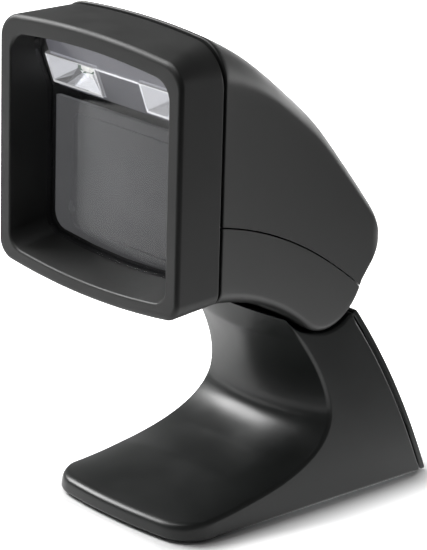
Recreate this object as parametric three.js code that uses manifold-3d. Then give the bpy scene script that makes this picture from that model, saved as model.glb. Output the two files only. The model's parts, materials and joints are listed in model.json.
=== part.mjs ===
// Hands-free presentation barcode scanner: a wedge-shaped scan head that tilts on a boot-shaped counter stand.
// Millimetres, +Z up. The scan window faces -Y and the origin is on the counter, under the middle of the part.
import * as THREE from "three";
import { mergeVertices } from "three/addons/utils/BufferGeometryUtils.js";
import Module from "manifold-3d";

const wasm = await Module();
wasm.setup();

// ---------- Driving dimensions ----------

const GAP = 0.3; // clearance between pieces that touch on the real object
const WALL = 2; // moulded wall thickness
const BIG = 200; // longer than the part, for cutting tools

// Scan head, from the bezel's front to the nose at its rear
const BEZEL_FRONT = -54.5;
const HEAD_FRONT = -36;
const HEAD_REAR = 42.9;
const BEZEL_HALF_WIDTH = 38.2;
const HEAD_HALF_WIDTH = 35.4; // at the seam between bezel and shells
const HEAD_TOP = 146.4;
const BEZEL_FRONT_TOP = 144.4;
const BEZEL_FRONT_BOTTOM = 69;
const HEAD_FRONT_BOTTOM = 69.8;
const EDGE_BOW = 2.4; // how far the long edges of the face bow outwards in the middle
const BEZEL_LIP = 1.6; // radius of the bezel's front edge
const SHADOW_GAP = 0.9; // visible gap all round between bezel and shells
const BEZEL_STEP = 0.5; // how far the shell's front edge stands above the bezel's rear edge
const HEAD_CORNER = 11; // radius of the head's top corners, where bezel and shells meet

// Recess in the bezel, at its front and at its back
const RECESS_FRONT = { y: BEZEL_FRONT, half: 33.1, bottom: 73.3, top: 139.3 };
const RECESS_BACK = { y: HEAD_FRONT, half: 31.7, bottom: 77.2, top: 137.6 };

// Scan window: an upright lower pane, and an upper strip that leans forward over the lamps
const WINDOW_FRONT = -42;
const WINDOW_THICK = 1.2;
const FOLD_Z = 119.5;
const LEAN = THREE.MathUtils.degToRad(21);
const STRIP_HEIGHT = 22;

// Tilt hinge between head and stand
const HINGE_Y = 18;
const HINGE_Z = 66;
const LOBE_RADIUS = 16.2; // round underside of the head, about the hinge
const CRADLE_RADIUS = 16.8; // the stand's cradle under it
const CRADLE_FRONT = THREE.MathUtils.degToRad(74.5); // the cradle's round part, down from the horizontal
const CRADLE_BACK = THREE.MathUtils.degToRad(50);
const SHAFT_RADIUS = 2.4;
const KNUCKLE_HALF = 9;
const KNUCKLE_RADIUS = 6.2;
const STEM_HALF = 4;

// Stand
const STAND_HALF_FLOOR = 30.4;
const STAND_TAPER = 0.17; // each side wall leans in by this much per millimetre of height
const STAND_BOTTOM = 0.8;
const STAND_REAR = 53.5;
const CENTRE_SHIFT = 0.5; // along Y, to put the origin under the middle of the finished part
const TOE_FRONT = -44;
const TOE_SWEEP = THREE.MathUtils.degToRad(6.5); // slope of the toe's bowed front at its round corners
const TOE_RADIUS = 11.4;
const NECK_RIM = { y: 1.7, z: 56.6 };
const NECK_CROWN = 5; // how far the middle of the neck's front bulges forward between its side edges
const FOOT_CROWN = 3.2; // how far the middle of the foot's top bulges upward between its side edges
const REAR_COVER_THICK = 2;
const REAR_COVER_GAP = 0.5;
const PLATE_BOTTOM = 1.6;
const PLATE_TOP = 2.8;

// Scan button on the sloping top of the head
const BUTTON_Y = -19;
const BUTTON_SLOPE = THREE.MathUtils.degToRad(32);
const BUTTON_LENGTH = 13;
const BUTTON_WIDTH = 22;
const BUTTON_PROUD = 0.9;
const BUTTON_GAP = 0.35;

// Interface socket in the rear of the head
const SOCKET_HALF = 7.4;
const SOCKET_BOTTOM = 68.2;
const SOCKET_TOP = 79.8;
const SOCKET_FRONT = 26;
const SOCKET_REAR = 38.6;

// ---------- Looks ----------

const LOOKS = {
  shell_black: { color: 0x2e302f, roughness: 0.55, metalness: 0 },
  bezel_black: { color: 0x343634, roughness: 0.62, metalness: 0 },
  stand_black: { color: 0x303331, roughness: 0.5, metalness: 0 },
  window_glass: { color: 0x3a3c3e, roughness: 0.05, metalness: 0, transparent: true, opacity: 0.5 },
  inner_black: { color: 0x101112, roughness: 0.8, metalness: 0 },
  panel_grey: { color: 0x7c7d84, roughness: 0.45, metalness: 0 },
  filter_grey: { color: 0x66676b, roughness: 0.2, metalness: 0 },
  mirror: { color: 0xe6e8ea, roughness: 0.08, metalness: 1 },
  led_white: { color: 0xf4f4ee, roughness: 0.3, metalness: 0 },
  circuit_green: { color: 0x1d5a35, roughness: 0.5, metalness: 0 },
  steel: { color: 0xa9adb0, roughness: 0.35, metalness: 1 },
  cast_metal: { color: 0x70757a, roughness: 0.5, metalness: 1 },
  lens_glass: { color: 0x20262c, roughness: 0.03, metalness: 0 },
  rubber: { color: 0x1a1a1a, roughness: 0.9, metalness: 0 },
  button_black: { color: 0x262827, roughness: 0.4, metalness: 0 },
  status_clear: { color: 0xc9d3d0, roughness: 0.2, metalness: 0 },
};

// ---------- Solid tools ----------

function toSolid(geometry) {
  const bare = geometry.clone();
  bare.deleteAttribute("normal");
  bare.deleteAttribute("uv");
  const merged = mergeVertices(bare, 1e-4);
  return new wasm.Manifold(
    new wasm.Mesh({
      numProp: 3,
      vertProperties: new Float32Array(merged.attributes.position.array),
      triVerts: new Uint32Array(merged.index.array),
    }),
  );
}

function toGeometry(solid) {
  const mesh = solid.getMesh();
  const geometry = new THREE.BufferGeometry();
  geometry.setAttribute("position", new THREE.BufferAttribute(mesh.vertProperties, 3));
  geometry.setIndex(new THREE.BufferAttribute(mesh.triVerts, 1));
  geometry.computeVertexNormals();
  return geometry;
}

function join(first, ...others) {
  return toGeometry(others.reduce((sum, other) => sum.add(toSolid(other)), toSolid(first)));
}

function cut(first, ...others) {
  return toGeometry(others.reduce((left, other) => left.subtract(toSolid(other)), toSolid(first)));
}

function common(first, ...others) {
  return toGeometry(others.reduce((shared, other) => shared.intersect(toSolid(other)), toSolid(first)));
}

// A box between two corners.
function block(x0, x1, y0, y1, z0, z1) {
  const box = new THREE.BoxGeometry(x1 - x0, y1 - y0, z1 - z0);
  return box.translate((x0 + x1) / 2, (y0 + y1) / 2, (z0 + z1) / 2);
}

// A round bar along one axis, centred on a point.
function bar(axis, radius, length, x, y, z, sides = 20) {
  const rod = new THREE.CylinderGeometry(radius, radius, length, sides);
  if (axis === "x") rod.rotateZ(-Math.PI / 2);
  if (axis === "z") rod.rotateX(Math.PI / 2);
  return rod.translate(x, y, z);
}

// A turned piece about an axis along +Z (or +X), from [radius, height] pairs.
function turned(axis, profile, x, y, z, sides = 20) {
  const lathe = new THREE.LatheGeometry(
    profile.map(([radius, height]) => new THREE.Vector2(radius, height)),
    sides,
  );
  lathe.rotateX(Math.PI / 2);
  if (axis === "x") lathe.rotateY(Math.PI / 2);
  if (axis === "-y") lathe.rotateX(Math.PI / 2);
  return lathe.translate(x, y, z);
}

// A side outline in (y, z), swept from x0 to x1.
function sideways(shape, x0, x1, steps = 1, curveSegments = 12) {
  const swept = new THREE.ExtrudeGeometry(shape, { depth: x1 - x0, steps, bevelEnabled: false, curveSegments });
  const along = new THREE.Matrix4().makeBasis(
    new THREE.Vector3(0, 1, 0),
    new THREE.Vector3(0, 0, 1),
    new THREE.Vector3(1, 0, 0),
  );
  return swept.applyMatrix4(along).translate(x0, 0, 0);
}

// Moves every vertex of a geometry by a function of its position.
function bend(geometry, move) {
  const position = geometry.attributes.position;
  const point = new THREE.Vector3();
  for (let i = 0; i < position.count; i++) {
    point.fromBufferAttribute(position, i);
    move(point);
    position.setXYZ(i, point.x, point.y, point.z);
  }
  return geometry;
}

function outline(points) {
  return new THREE.Shape(points.map(([u, v]) => new THREE.Vector2(u, v)));
}

const mix = THREE.MathUtils.lerp;
const clamp = THREE.MathUtils.clamp;

// ---------- Lofts along Y ----------

const CORNER_STEPS = 4;
const EDGE_STEPS = 4;

// One section across Y: a rectangle with round corners whose top and bottom edges bow outwards.
// It runs anticlockwise in (x, z), starting below the lower corner at +X.
function section({ half, bottom, top, topRadius, bottomRadius, topBow, bottomBow }) {
  const corners = [
    { x: half - bottomRadius, z: bottom + bottomRadius, radius: bottomRadius, from: -90 },
    { x: half - topRadius, z: top - topRadius, radius: topRadius, from: 0 },
    { x: topRadius - half, z: top - topRadius, radius: topRadius, from: 90 },
    { x: bottomRadius - half, z: bottom + bottomRadius, radius: bottomRadius, from: 180 },
  ];
  const points = [];
  corners.forEach((corner, index) => {
    const next = corners[(index + 1) % 4];
    for (let i = 0; i <= CORNER_STEPS; i++) {
      const angle = THREE.MathUtils.degToRad(corner.from + (90 * i) / CORNER_STEPS);
      const x = corner.x + corner.radius * Math.cos(angle);
      points.push([x, corner.z + corner.radius * Math.sin(angle)]);
    }
    const end = points[points.length - 1];
    const angle = THREE.MathUtils.degToRad(next.from);
    const start = [next.x + next.radius * Math.cos(angle), next.z + next.radius * Math.sin(angle)];
    for (let i = 1; i < EDGE_STEPS; i++) {
      points.push([mix(end[0], start[0], i / EDGE_STEPS), mix(end[1], start[1], i / EDGE_STEPS)]);
    }
  });
  const middle = (bottom + top) / 2;
  return points.map(([x, z]) => {
    const bow = z > middle ? topBow : -bottomBow;
    const reach = Math.abs(z - middle) / (top - middle);
    return [x, z - bow * reach * (x / half) ** 2];
  });
}

// A closed body through sections at increasing y: stations is a list of { y, ...section sizes }.
function loft(stations) {
  const rings = stations.map((station) => section(station));
  const count = rings[0].length;
  const disc = [...Array(count).keys()].map((k) => [
    Math.cos((2 * Math.PI * k) / count),
    Math.sin((2 * Math.PI * k) / count),
  ]);
  const tube = new THREE.ExtrudeGeometry(outline(disc), {
    depth: stations.length - 1,
    steps: stations.length - 1,
    bevelEnabled: false,
  });
  return bend(tube, (point) => {
    const station = stations.length - 1 - Math.round(point.z);
    const turn = Math.atan2(point.y, point.x) / (2 * Math.PI);
    const [x, z] = rings[station][(Math.round(turn * count) + count) % count];
    point.set(x, stations[station].y, z);
  });
}

// ---------- Head outline, from the side ----------

// Middle of the sloping top, from the bezel seam down to the nose.
const topLine = new THREE.SplineCurve(
  [
    [HEAD_FRONT - 2, HEAD_TOP + 0.1],
    [HEAD_FRONT, HEAD_TOP],
    [-33.6, 145.7],
    [-22.5, 139.7],
    [-10.8, 131.6],
    [9.6, 115.4],
    [24.6, 99.4],
    [36, 86],
    [40.6, 79.6],
    [42.4, 76],
    [HEAD_REAR + 0.1, 72.2],
  ].map(([y, z]) => new THREE.Vector2(y, z)),
);

// Where the concave underside runs into the round lobe, and where the lobe runs into the straight rear.
const LOBE_START = THREE.MathUtils.degToRad(38.7);
const LOBE_END = THREE.MathUtils.degToRad(58);
const lobeStart = {
  y: HINGE_Y - LOBE_RADIUS * Math.sin(LOBE_START),
  z: HINGE_Z - LOBE_RADIUS * Math.cos(LOBE_START),
};
const lobeEnd = {
  y: HINGE_Y + LOBE_RADIUS * Math.sin(LOBE_END),
  z: HINGE_Z - LOBE_RADIUS * Math.cos(LOBE_END),
};
const underLine = new THREE.QuadraticBezierCurve(
  new THREE.Vector2(HEAD_FRONT - 2, 72.6),
  new THREE.Vector2(-10.8, 67.9),
  new THREE.Vector2(lobeStart.y, lobeStart.z),
);
// The nose is round, with a straight slope under it that ends in a kink where the shells part.
const NOSE = { y: 33.9, z: 74, radius: 9 };
const NOSE_SLOPE = THREE.MathUtils.degToRad(46.4);
const noseJoin = {
  y: NOSE.y + NOSE.radius * Math.sin(NOSE_SLOPE),
  z: NOSE.z - NOSE.radius * Math.cos(NOSE_SLOPE),
};
const KINK_Y = 33.2;
const kinkZ = noseJoin.z - Math.tan(NOSE_SLOPE) * (noseJoin.y - KINK_Y);
const NOSE_TURN = { reach: 6, depth: 4 }; // rounding of the nose's sides, seen from above

// Height of a curve that always runs towards +Y, at a given y.
function heightAt(curve, y) {
  let low = 0;
  let high = 1;
  for (let i = 0; i < 30; i++) {
    const half = (low + high) / 2;
    if (curve.getPoint(half).x < y) low = half;
    else high = half;
  }
  return curve.getPoint((low + high) / 2).y;
}

function undersideAt(y) {
  if (y < lobeStart.y) return heightAt(underLine, y);
  if (y < lobeEnd.y) return HINGE_Z - Math.sqrt(LOBE_RADIUS ** 2 - (y - HINGE_Y) ** 2);
  if (y < KINK_Y) return mix(lobeEnd.z, kinkZ, (y - lobeEnd.y) / (KINK_Y - lobeEnd.y));
  if (y < noseJoin.y) return mix(kinkZ, noseJoin.z, (y - KINK_Y) / (noseJoin.y - KINK_Y));
  return NOSE.z - Math.sqrt(Math.max(NOSE.radius ** 2 - (y - NOSE.y) ** 2, 0));
}

// Half width of the head: wide at the bezel, narrow at the nose.
function headHalfAt(y) {
  const back = Math.max(y - HEAD_FRONT, -2);
  const turn = clamp((y - HEAD_REAR) / NOSE_TURN.reach + 1, 0, 1);
  const rounding = NOSE_TURN.depth * (1 - Math.sqrt(1 - turn ** 2));
  return HEAD_HALF_WIDTH - 0.29 * back + 0.00105 * back ** 2 - rounding;
}

function headStation(y, inset) {
  const share = clamp((y - HEAD_FRONT) / (HEAD_REAR - HEAD_FRONT), 0, 1);
  const half = headHalfAt(y) - inset;
  const bottom = undersideAt(y) + inset;
  const top = heightAt(topLine, y) - 1.25 * inset;
  const room = (top - bottom) / 2 - 0.2;
  const frontShare = clamp((8 - y) / (8 - HEAD_FRONT), 0, 1);
  const corner = mix(7.5, 4.5, share) + (HEAD_CORNER - 7.5) * clamp(1 - 3 * share, 0, 1);
  return {
    y,
    half,
    bottom: bottom - EDGE_BOW * frontShare,
    top,
    topRadius: Math.min(corner - inset / 2, room),
    bottomRadius: Math.min(mix(2.2, 4, frontShare) - inset / 2, room),
    topBow: mix(EDGE_BOW, 1, share),
    bottomBow: EDGE_BOW * frontShare,
  };
}

// The whole head behind the bezel, as one body, or its hollow when inset is the wall thickness.
function headBody(front, rear, inset) {
  const steps = 20;
  const stations = [];
  for (let i = 0; i <= steps; i++) {
    const share = Math.sin(((i / steps) * Math.PI) / 2);
    stations.push(headStation(mix(front, rear, mix(i / steps, share, 0.6)), inset));
  }
  return loft(stations);
}

// Side outline of everything above or below the seam between the shells.
const SEAM_FRONT_Z = 94.4;
const SEAM_REAR = { y: 33, z: 59.2 };
function seamSide(above, shift) {
  const shape = new THREE.Shape();
  const far = above ? BIG : -BIG;
  shape.moveTo(-BIG, SEAM_FRONT_Z + shift);
  shape.lineTo(HEAD_FRONT, SEAM_FRONT_Z + shift);
  shape.quadraticCurveTo(2.1, 84.1 + shift, SEAM_REAR.y, SEAM_REAR.z + shift);
  shape.lineTo(BIG, SEAM_REAR.z + shift - 0.8 * (BIG - SEAM_REAR.y));
  shape.lineTo(BIG, far);
  shape.lineTo(-BIG, far);
  return sideways(shape, -BIG, BIG, 1, 16);
}

// ---------- Bezel and recess ----------

function bezelStation(share, inset) {
  return {
    y: mix(BEZEL_FRONT, HEAD_FRONT - GAP, share),
    half: mix(BEZEL_HALF_WIDTH, HEAD_HALF_WIDTH, share) - inset,
    bottom: mix(BEZEL_FRONT_BOTTOM, HEAD_FRONT_BOTTOM, share) + inset,
    top: mix(BEZEL_FRONT_TOP, HEAD_TOP - BEZEL_STEP, share) - inset,
    topRadius: mix(6.5, HEAD_CORNER, share) - inset / 2,
    bottomRadius: mix(5, 4, share) - inset / 2,
    topBow: EDGE_BOW,
    bottomBow: mix(2.9, EDGE_BOW, share),
  };
}

function recessStation(y, inset) {
  const share = (y - RECESS_FRONT.y) / (RECESS_BACK.y - RECESS_FRONT.y);
  return {
    y,
    half: mix(RECESS_FRONT.half, RECESS_BACK.half, share) - inset,
    bottom: mix(RECESS_FRONT.bottom, RECESS_BACK.bottom, share) + inset,
    top: mix(RECESS_FRONT.top, RECESS_BACK.top, share) - inset,
    topRadius: 5.5,
    bottomRadius: 4.5,
    topBow: 2.2,
    bottomBow: 2.4,
  };
}

// The space inside the bezel, drafted so that it narrows towards the window.
function recess(inset) {
  return loft([
    recessStation(BEZEL_FRONT - 1, inset - 0.8),
    recessStation(BEZEL_FRONT, inset - 0.8),
    recessStation(BEZEL_FRONT + 0.8, inset),
    recessStation(HEAD_FRONT + 4, inset),
  ]);
}

function frontBezel() {
  const edge = BEZEL_LIP / (HEAD_FRONT - BEZEL_FRONT);
  const rim = 1 - (SHADOW_GAP - GAP) / (HEAD_FRONT - BEZEL_FRONT);
  const body = loft([
    bezelStation(0, BEZEL_LIP * 0.9),
    bezelStation(edge * 0.3, BEZEL_LIP * 0.3),
    bezelStation(edge, 0),
    bezelStation(rim, 0),
    bezelStation(rim, 1.4),
    bezelStation(1, 1.4),
  ]);
  return cut(body, recess(0));
}

// ---------- Window and lamps ----------

// A folded sheet parallel to the scan window, between two depths behind its front face.
function foldedSheet(near, far, halfWidth) {
  const lean = Math.tan(LEAN);
  const edgeAt = (depth) => {
    const shift = depth * Math.tan(LEAN / 2);
    return [
      [WINDOW_FRONT + depth, FOLD_Z + shift],
      [WINDOW_FRONT + depth - lean * STRIP_HEIGHT, FOLD_Z + shift + STRIP_HEIGHT],
    ];
  };
  const [nearFold, nearTop] = edgeAt(near);
  const [farFold, farTop] = edgeAt(far);
  const bottom = RECESS_FRONT.bottom - 5;
  return sideways(
    outline([[WINDOW_FRONT + near, bottom], [WINDOW_FRONT + far, bottom], farFold, farTop, nearTop, nearFold]),
    -halfWidth,
    halfWidth,
  );
}

function scanWindow() {
  return common(foldedSheet(0, WINDOW_THICK, 40), recess(GAP));
}

const GASKET_NEAR = WINDOW_THICK + GAP;
const GASKET_FAR = GASKET_NEAR + 0.8;
function windowGasket() {
  return cut(common(foldedSheet(GASKET_NEAR, GASKET_FAR, 40), recess(GAP)), recess(1));
}

// Black frame behind the upright pane, with a round-cornered opening for the camera's view.
const MASK_NEAR = GASKET_FAR + GAP;
const MASK_OPENING = { half: 24.4, bottom: 80.6, top: 114.5, radius: 3.5 };
function windowMask() {
  const y0 = WINDOW_FRONT + MASK_NEAR;
  const opening = loft(
    [-1, 3].map((offset) => ({
      y: y0 + offset,
      half: MASK_OPENING.half - 0.5 * offset,
      bottom: MASK_OPENING.bottom + 0.2 * offset,
      top: MASK_OPENING.top - 0.2 * offset,
      topRadius: MASK_OPENING.radius,
      bottomRadius: MASK_OPENING.radius,
      topBow: 0,
      bottomBow: 0,
    })),
  );
  const plate = common(block(-40, 40, y0, y0 + 1.6, 60, 117.6), recess(0.7));
  return cut(plate, opening);
}

// Grey filter plate that fills the mask's opening in front of the camera.
function cameraFilter() {
  const y0 = WINDOW_FRONT + MASK_NEAR;
  return loft(
    [0.4, 1.4].map((offset) => ({
      y: y0 + offset,
      half: MASK_OPENING.half - 0.5 * offset - GAP,
      bottom: MASK_OPENING.bottom + 0.2 * offset + GAP,
      top: MASK_OPENING.top - 0.2 * offset - GAP,
      topRadius: MASK_OPENING.radius - GAP,
      bottomRadius: MASK_OPENING.radius - GAP,
      topBow: 0,
      bottomBow: 0,
    })),
  );
}

// Black hood from the mask's opening back to the camera.
const HOOD_REAR = -18;
function opticsHood() {
  const funnel = (inset) =>
    loft(
      [0, 1].map((share) => ({
        y: mix(WINDOW_FRONT + MASK_NEAR + 1.9, HOOD_REAR, share) + (inset ? mix(-0.5, 0.5, share) : 0),
        half: mix(25.5, 10, share) - inset,
        bottom: mix(79, 89, share) + inset,
        top: mix(116, 109, share) - inset,
        topRadius: 3,
        bottomRadius: 3,
        topBow: 0,
        bottomBow: 0,
      })),
    );
  return cut(funnel(0), funnel(1.3));
}

// Pieces of the lamp strip are built with x across, z up the leaning strip and y into the head.
const LAMP_OFFSET = 19.9;
const LAMP_HALF = 10.8;
const LAMP_BOTTOM = 1.6;
const LAMP_TOP = 11.4;
const CUP_DEPTH = 5.6;
const PANEL_NEAR = WINDOW_THICK + GAP;
const PANEL_THICK = 1.4;

function illuminationPanel() {
  const reach = 29.4;
  const plate = block(-reach, reach, GASKET_FAR + GAP, GASKET_FAR + GAP + PANEL_THICK, 0.4, 14.8);
  const holes = [-1, 1].map((side) =>
    block(
      side * LAMP_OFFSET - LAMP_HALF - GAP,
      side * LAMP_OFFSET + LAMP_HALF + GAP,
      0,
      10,
      LAMP_BOTTOM - GAP,
      LAMP_TOP + GAP,
    ),
  );
  return cut(plate, ...holes);
}

// Mirror cup: a block with a four-sided tapering well and a hole for its lamp.
function reflectorCup(side) {
  const middle = side * LAMP_OFFSET;
  const height = LAMP_TOP - LAMP_BOTTOM;
  const front = PANEL_NEAR + 0.2;
  const body = block(middle - LAMP_HALF, middle + LAMP_HALF, front, front + CUP_DEPTH, LAMP_BOTTOM, LAMP_TOP);
  const well = new THREE.CylinderGeometry(Math.SQRT1_2, 0.3 * Math.SQRT1_2, CUP_DEPTH, 4, 1);
  well.rotateY(Math.PI / 4).rotateX(-Math.PI / 2).rotateX(Math.PI);
  well.scale(2 * LAMP_HALF - 1.2, 1, height - 1.2);
  well.translate(middle, front + CUP_DEPTH / 2 - 0.01, (LAMP_TOP + LAMP_BOTTOM) / 2);
  const lampHole = block(middle - 2.4, middle + 2.4, front + 3, front + CUP_DEPTH + 1, 4.3, 8.7);
  return cut(body, well, lampHole);
}

function lamp(side) {
  const middle = side * LAMP_OFFSET;
  const back = PANEL_NEAR + 0.2 + CUP_DEPTH;
  const body = block(middle - 1.7, middle + 1.7, back - 1, back, 4.8, 8.2);
  const profile = [[0, -0.2], [1.3, -0.2], [1.3, 0.3], [0.9, 0.9], [0, 1.2]];
  const dome = turned("-y", profile, middle, back - 1, 6.5, 12);
  return join(body, dome);
}

function lampBoard() {
  const near = PANEL_NEAR + 0.2 + CUP_DEPTH + GAP;
  return block(-29, 29, near, near + 1.2, 0.6, 12.4);
}

// ---------- Camera and electronics ----------

const CAMERA_Z = 99;
const CAMERA = { front: -15, rear: -1, half: 9 };

function cameraBody() {
  const body = block(-CAMERA.half, CAMERA.half, CAMERA.front, CAMERA.rear, CAMERA_Z - 8, CAMERA_Z + 8);
  return cut(body, bar("y", 4.6, 8, 0, CAMERA.front, CAMERA_Z));
}

function lensBarrel() {
  const ring = [[2.6, 0], [4.2, 0], [4.2, 7], [3.6, 8], [2.6, 8], [2.6, 0]];
  return turned("-y", ring, 0, CAMERA.front + 3.4, CAMERA_Z);
}

function cameraLens() {
  const biconvex = [[0, 0], [1.3, 0.15], [2.2, 0.6], [2.2, 1.4], [1.3, 1.85], [0, 2]];
  return turned("-y", biconvex, 0, CAMERA.front - 1, CAMERA_Z);
}

function sensorBoard() {
  return block(-8, 8, CAMERA.rear + GAP, CAMERA.rear + GAP + 1.2, CAMERA_Z - 7, CAMERA_Z + 9);
}

const CHASSIS_TOP = 78;
const CHASSIS_THICK = 2;
const EAR_NEAR = 11.3;
const EAR_FAR = 14.3;

function cameraBracket() {
  const back = CAMERA.rear + GAP + 1.2 + GAP;
  const foot = CHASSIS_TOP + GAP;
  return join(
    block(-8, 8, back, back + 1.4, foot, CAMERA_Z + 7),
    block(-8, 8, CAMERA.front + 2, back + 1.4, foot, foot + 1.4),
    block(-8, 8, CAMERA.front + 4, back + 1.4, foot, CAMERA_Z - 8 - GAP),
  );
}

// Target lamp beside the camera.
function aimer() {
  const can = [[0, 0], [2.6, 0], [2.6, 8], [2.1, 9], [0, 9.4]];
  return turned("-y", can, 14, -8, CAMERA_Z - 2, 16);
}

// Floor plate of the head with two ears that carry the hinge shaft.
function chassisFrame() {
  const plate = block(-17, 17, -31, 25, CHASSIS_TOP - CHASSIS_THICK, CHASSIS_TOP);
  const ears = [-1, 1].flatMap((side) => {
    const middle = (side * (EAR_NEAR + EAR_FAR)) / 2;
    const thick = EAR_FAR - EAR_NEAR;
    const from = Math.min(side * EAR_NEAR, side * EAR_FAR);
    return [
      bar("x", 6.4, thick, middle, HINGE_Y, HINGE_Z),
      block(from, from + thick, HINGE_Y - 6.3, HINGE_Y + 6.3, HINGE_Z, CHASSIS_TOP - 1),
    ];
  });
  const shaftHole = bar("x", SHAFT_RADIUS + GAP, 40, 0, HINGE_Y, HINGE_Z);
  const knuckleRoom = block(-10.5, 10.5, HINGE_Y - 8.5, HINGE_Y + 8.5, 60, HINGE_Z + 8);
  return cut(join(plate, ...ears), shaftHole, knuckleRoom);
}

function mainBoard() {
  return block(-14, 14, 4, 33, 81.8, 83.2);
}

function boardPost(x, y) {
  return bar("z", 1.8, 81.8 - CHASSIS_TOP - 2 * GAP, x, y, (81.8 + CHASSIS_TOP) / 2, 12);
}

function processor() {
  return block(-6, 6, 8, 20, 83.5, 84.9);
}

function beeper() {
  return cut(bar("z", 4.8, 5, 8.4, 26, 86.1, 20), bar("z", 1, 3, 8.4, 26, 88.6, 12));
}

// Modular socket, open to the rear, with a step in its floor for the plug's latch.
function interfaceSocket() {
  const body = block(-SOCKET_HALF, SOCKET_HALF, SOCKET_FRONT, SOCKET_REAR, SOCKET_BOTTOM, SOCKET_TOP);
  const cavity = block(-5.9, 5.9, SOCKET_FRONT + 2, SOCKET_REAR + 1, SOCKET_BOTTOM + 3, SOCKET_TOP - 1.4);
  const latch = block(-2, 2, SOCKET_FRONT + 4, SOCKET_REAR + 1, SOCKET_BOTTOM + 1.2, SOCKET_BOTTOM + 4);
  return cut(body, cavity, latch);
}

// ---------- Shells, button and status light ----------

const BUTTON_Z = heightAt(topLine, BUTTON_Y);

// Puts something built about the button's middle, with z outwards, onto the sloping top.
function onSlope(geometry) {
  return geometry.rotateX(-BUTTON_SLOPE).translate(0, BUTTON_Y, BUTTON_Z);
}

function padOutline(halfWidth, halfLength, radius) {
  const shape = new THREE.Shape();
  shape.moveTo(-halfWidth + radius, -halfLength);
  shape.lineTo(halfWidth - radius, -halfLength);
  shape.absarc(halfWidth - radius, -halfLength + radius, radius, -Math.PI / 2, 0);
  shape.absarc(halfWidth - radius, halfLength - radius, radius, 0, Math.PI / 2);
  shape.absarc(radius - halfWidth, halfLength - radius, radius, Math.PI / 2, Math.PI);
  shape.absarc(radius - halfWidth, -halfLength + radius, radius, Math.PI, 1.5 * Math.PI);
  return shape;
}

function pad(halfWidth, halfLength, radius, z0, z1) {
  const shape = padOutline(halfWidth, halfLength, radius);
  const slab = new THREE.ExtrudeGeometry(shape, { depth: z1 - z0, bevelEnabled: false, curveSegments: 4 });
  return slab.translate(0, 0, z0);
}

const STATUS = { y: -32, half: 5, halfLength: 1.3 };
function onBrow(geometry) {
  return geometry.rotateX(-BUTTON_SLOPE * 0.8).translate(0, STATUS.y, heightAt(topLine, STATUS.y));
}

function scanButton() {
  const cap = pad(BUTTON_WIDTH / 2, BUTTON_LENGTH / 2, 4, -3.4, BUTTON_PROUD);
  const flange = pad(BUTTON_WIDTH / 2 + 1.2, BUTTON_LENGTH / 2 + 1.2, 4.5, -4.6, -3.4);
  const hollow = pad(BUTTON_WIDTH / 2 - 1.6, BUTTON_LENGTH / 2 - 1.6, 2.6, -6, BUTTON_PROUD - 1.6);
  const pusher = bar("z", 1.6, 5, 0, 0, -2.3, 12);
  return onSlope(join(cut(join(cap, flange), hollow), pusher));
}

function tactileSwitch() {
  const body = block(-3, 3, -3, 3, -10.4, -7.4);
  return onSlope(join(body, bar("z", 1.4, 1.4, 0, 0, -6.9, 12)));
}

function buttonBoard() {
  return onSlope(block(-10, 10, -6, 6, -12, -10.7));
}

function statusLight() {
  return onBrow(pad(STATUS.half, STATUS.halfLength, 1.2, -2.4, 0.1));
}

function upperShell() {
  const skin = cut(headBody(HEAD_FRONT, HEAD_REAR, 0), headBody(HEAD_FRONT - 1, HEAD_REAR - 2.6, WALL));
  const buttonHole = pad(BUTTON_WIDTH / 2 + BUTTON_GAP, BUTTON_LENGTH / 2 + BUTTON_GAP, 4.3, -8, 8);
  const statusHole = pad(STATUS.half + GAP, STATUS.halfLength + GAP, 1.4, -6, 6);
  const socketHole = block(
    -SOCKET_HALF - GAP,
    SOCKET_HALF + GAP,
    SOCKET_REAR - 8,
    60,
    SOCKET_BOTTOM - GAP,
    SOCKET_TOP + GAP,
  );
  const shell = common(skin, seamSide(true, GAP / 2));
  return cut(shell, onSlope(buttonHole), onBrow(statusHole), socketHole);
}

const SCREW_X = 13;
const SCREW_Y = -24;
function lowerShell() {
  const skin = cut(headBody(HEAD_FRONT, HEAD_REAR, 0), headBody(HEAD_FRONT - 1, HEAD_REAR - 2.6, WALL));
  const shell = common(skin, seamSide(false, -GAP / 2));
  const stemSlot = block(-KNUCKLE_HALF - 0.6, KNUCKLE_HALF + 0.6, 12, 28, 40, 62);
  const bosses = [-1, 1].map((side) => bar("z", 3.4, 6, side * SCREW_X, SCREW_Y, 72.6, 16));
  const bores = [-1, 1].flatMap((side) => [
    bar("z", 1.6, 20, side * SCREW_X, SCREW_Y, 72, 12),
    bar("z", 2.6, 8, side * SCREW_X, SCREW_Y, 68, 16),
  ]);
  return cut(join(shell, ...bosses), stemSlot, ...bores);
}

function shellScrew(side) {
  const profile = [[0, 0], [2.2, 0], [2.2, 1.3], [1.25, 1.5], [1.25, 3.4], [0, 3.4]];
  return turned("z", profile, side * SCREW_X, SCREW_Y, 70.2, 14);
}

// ---------- Hinge ----------

function hingeBracket() {
  const bore = bar("x", SHAFT_RADIUS + GAP, 40, 0, HINGE_Y, HINGE_Z);
  const footTop = 44.1;
  const body = join(
    bar("x", KNUCKLE_RADIUS, 2 * KNUCKLE_HALF, 0, HINGE_Y, HINGE_Z, 24),
    block(-KNUCKLE_HALF, KNUCKLE_HALF, HINGE_Y - STEM_HALF, HINGE_Y + STEM_HALF, footTop - 0.5, HINGE_Z),
    block(-14.5, 14.5, 18.6, 28, footTop - 2.4, footTop),
  );
  const screwHoles = [-1, 1].map((side) => bar("z", 1.6, 10, side * 12, 23.5, footTop, 12));
  return cut(body, bore, ...screwHoles);
}

function bracketScrew(side) {
  const profile = [[0, 0], [2.5, 0], [2.5, 1.6], [1.25, 1.6], [1.25, 8.2], [0, 8.2]];
  return turned("z", profile, side * 12, 23.5, 39.8, 14);
}

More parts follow.
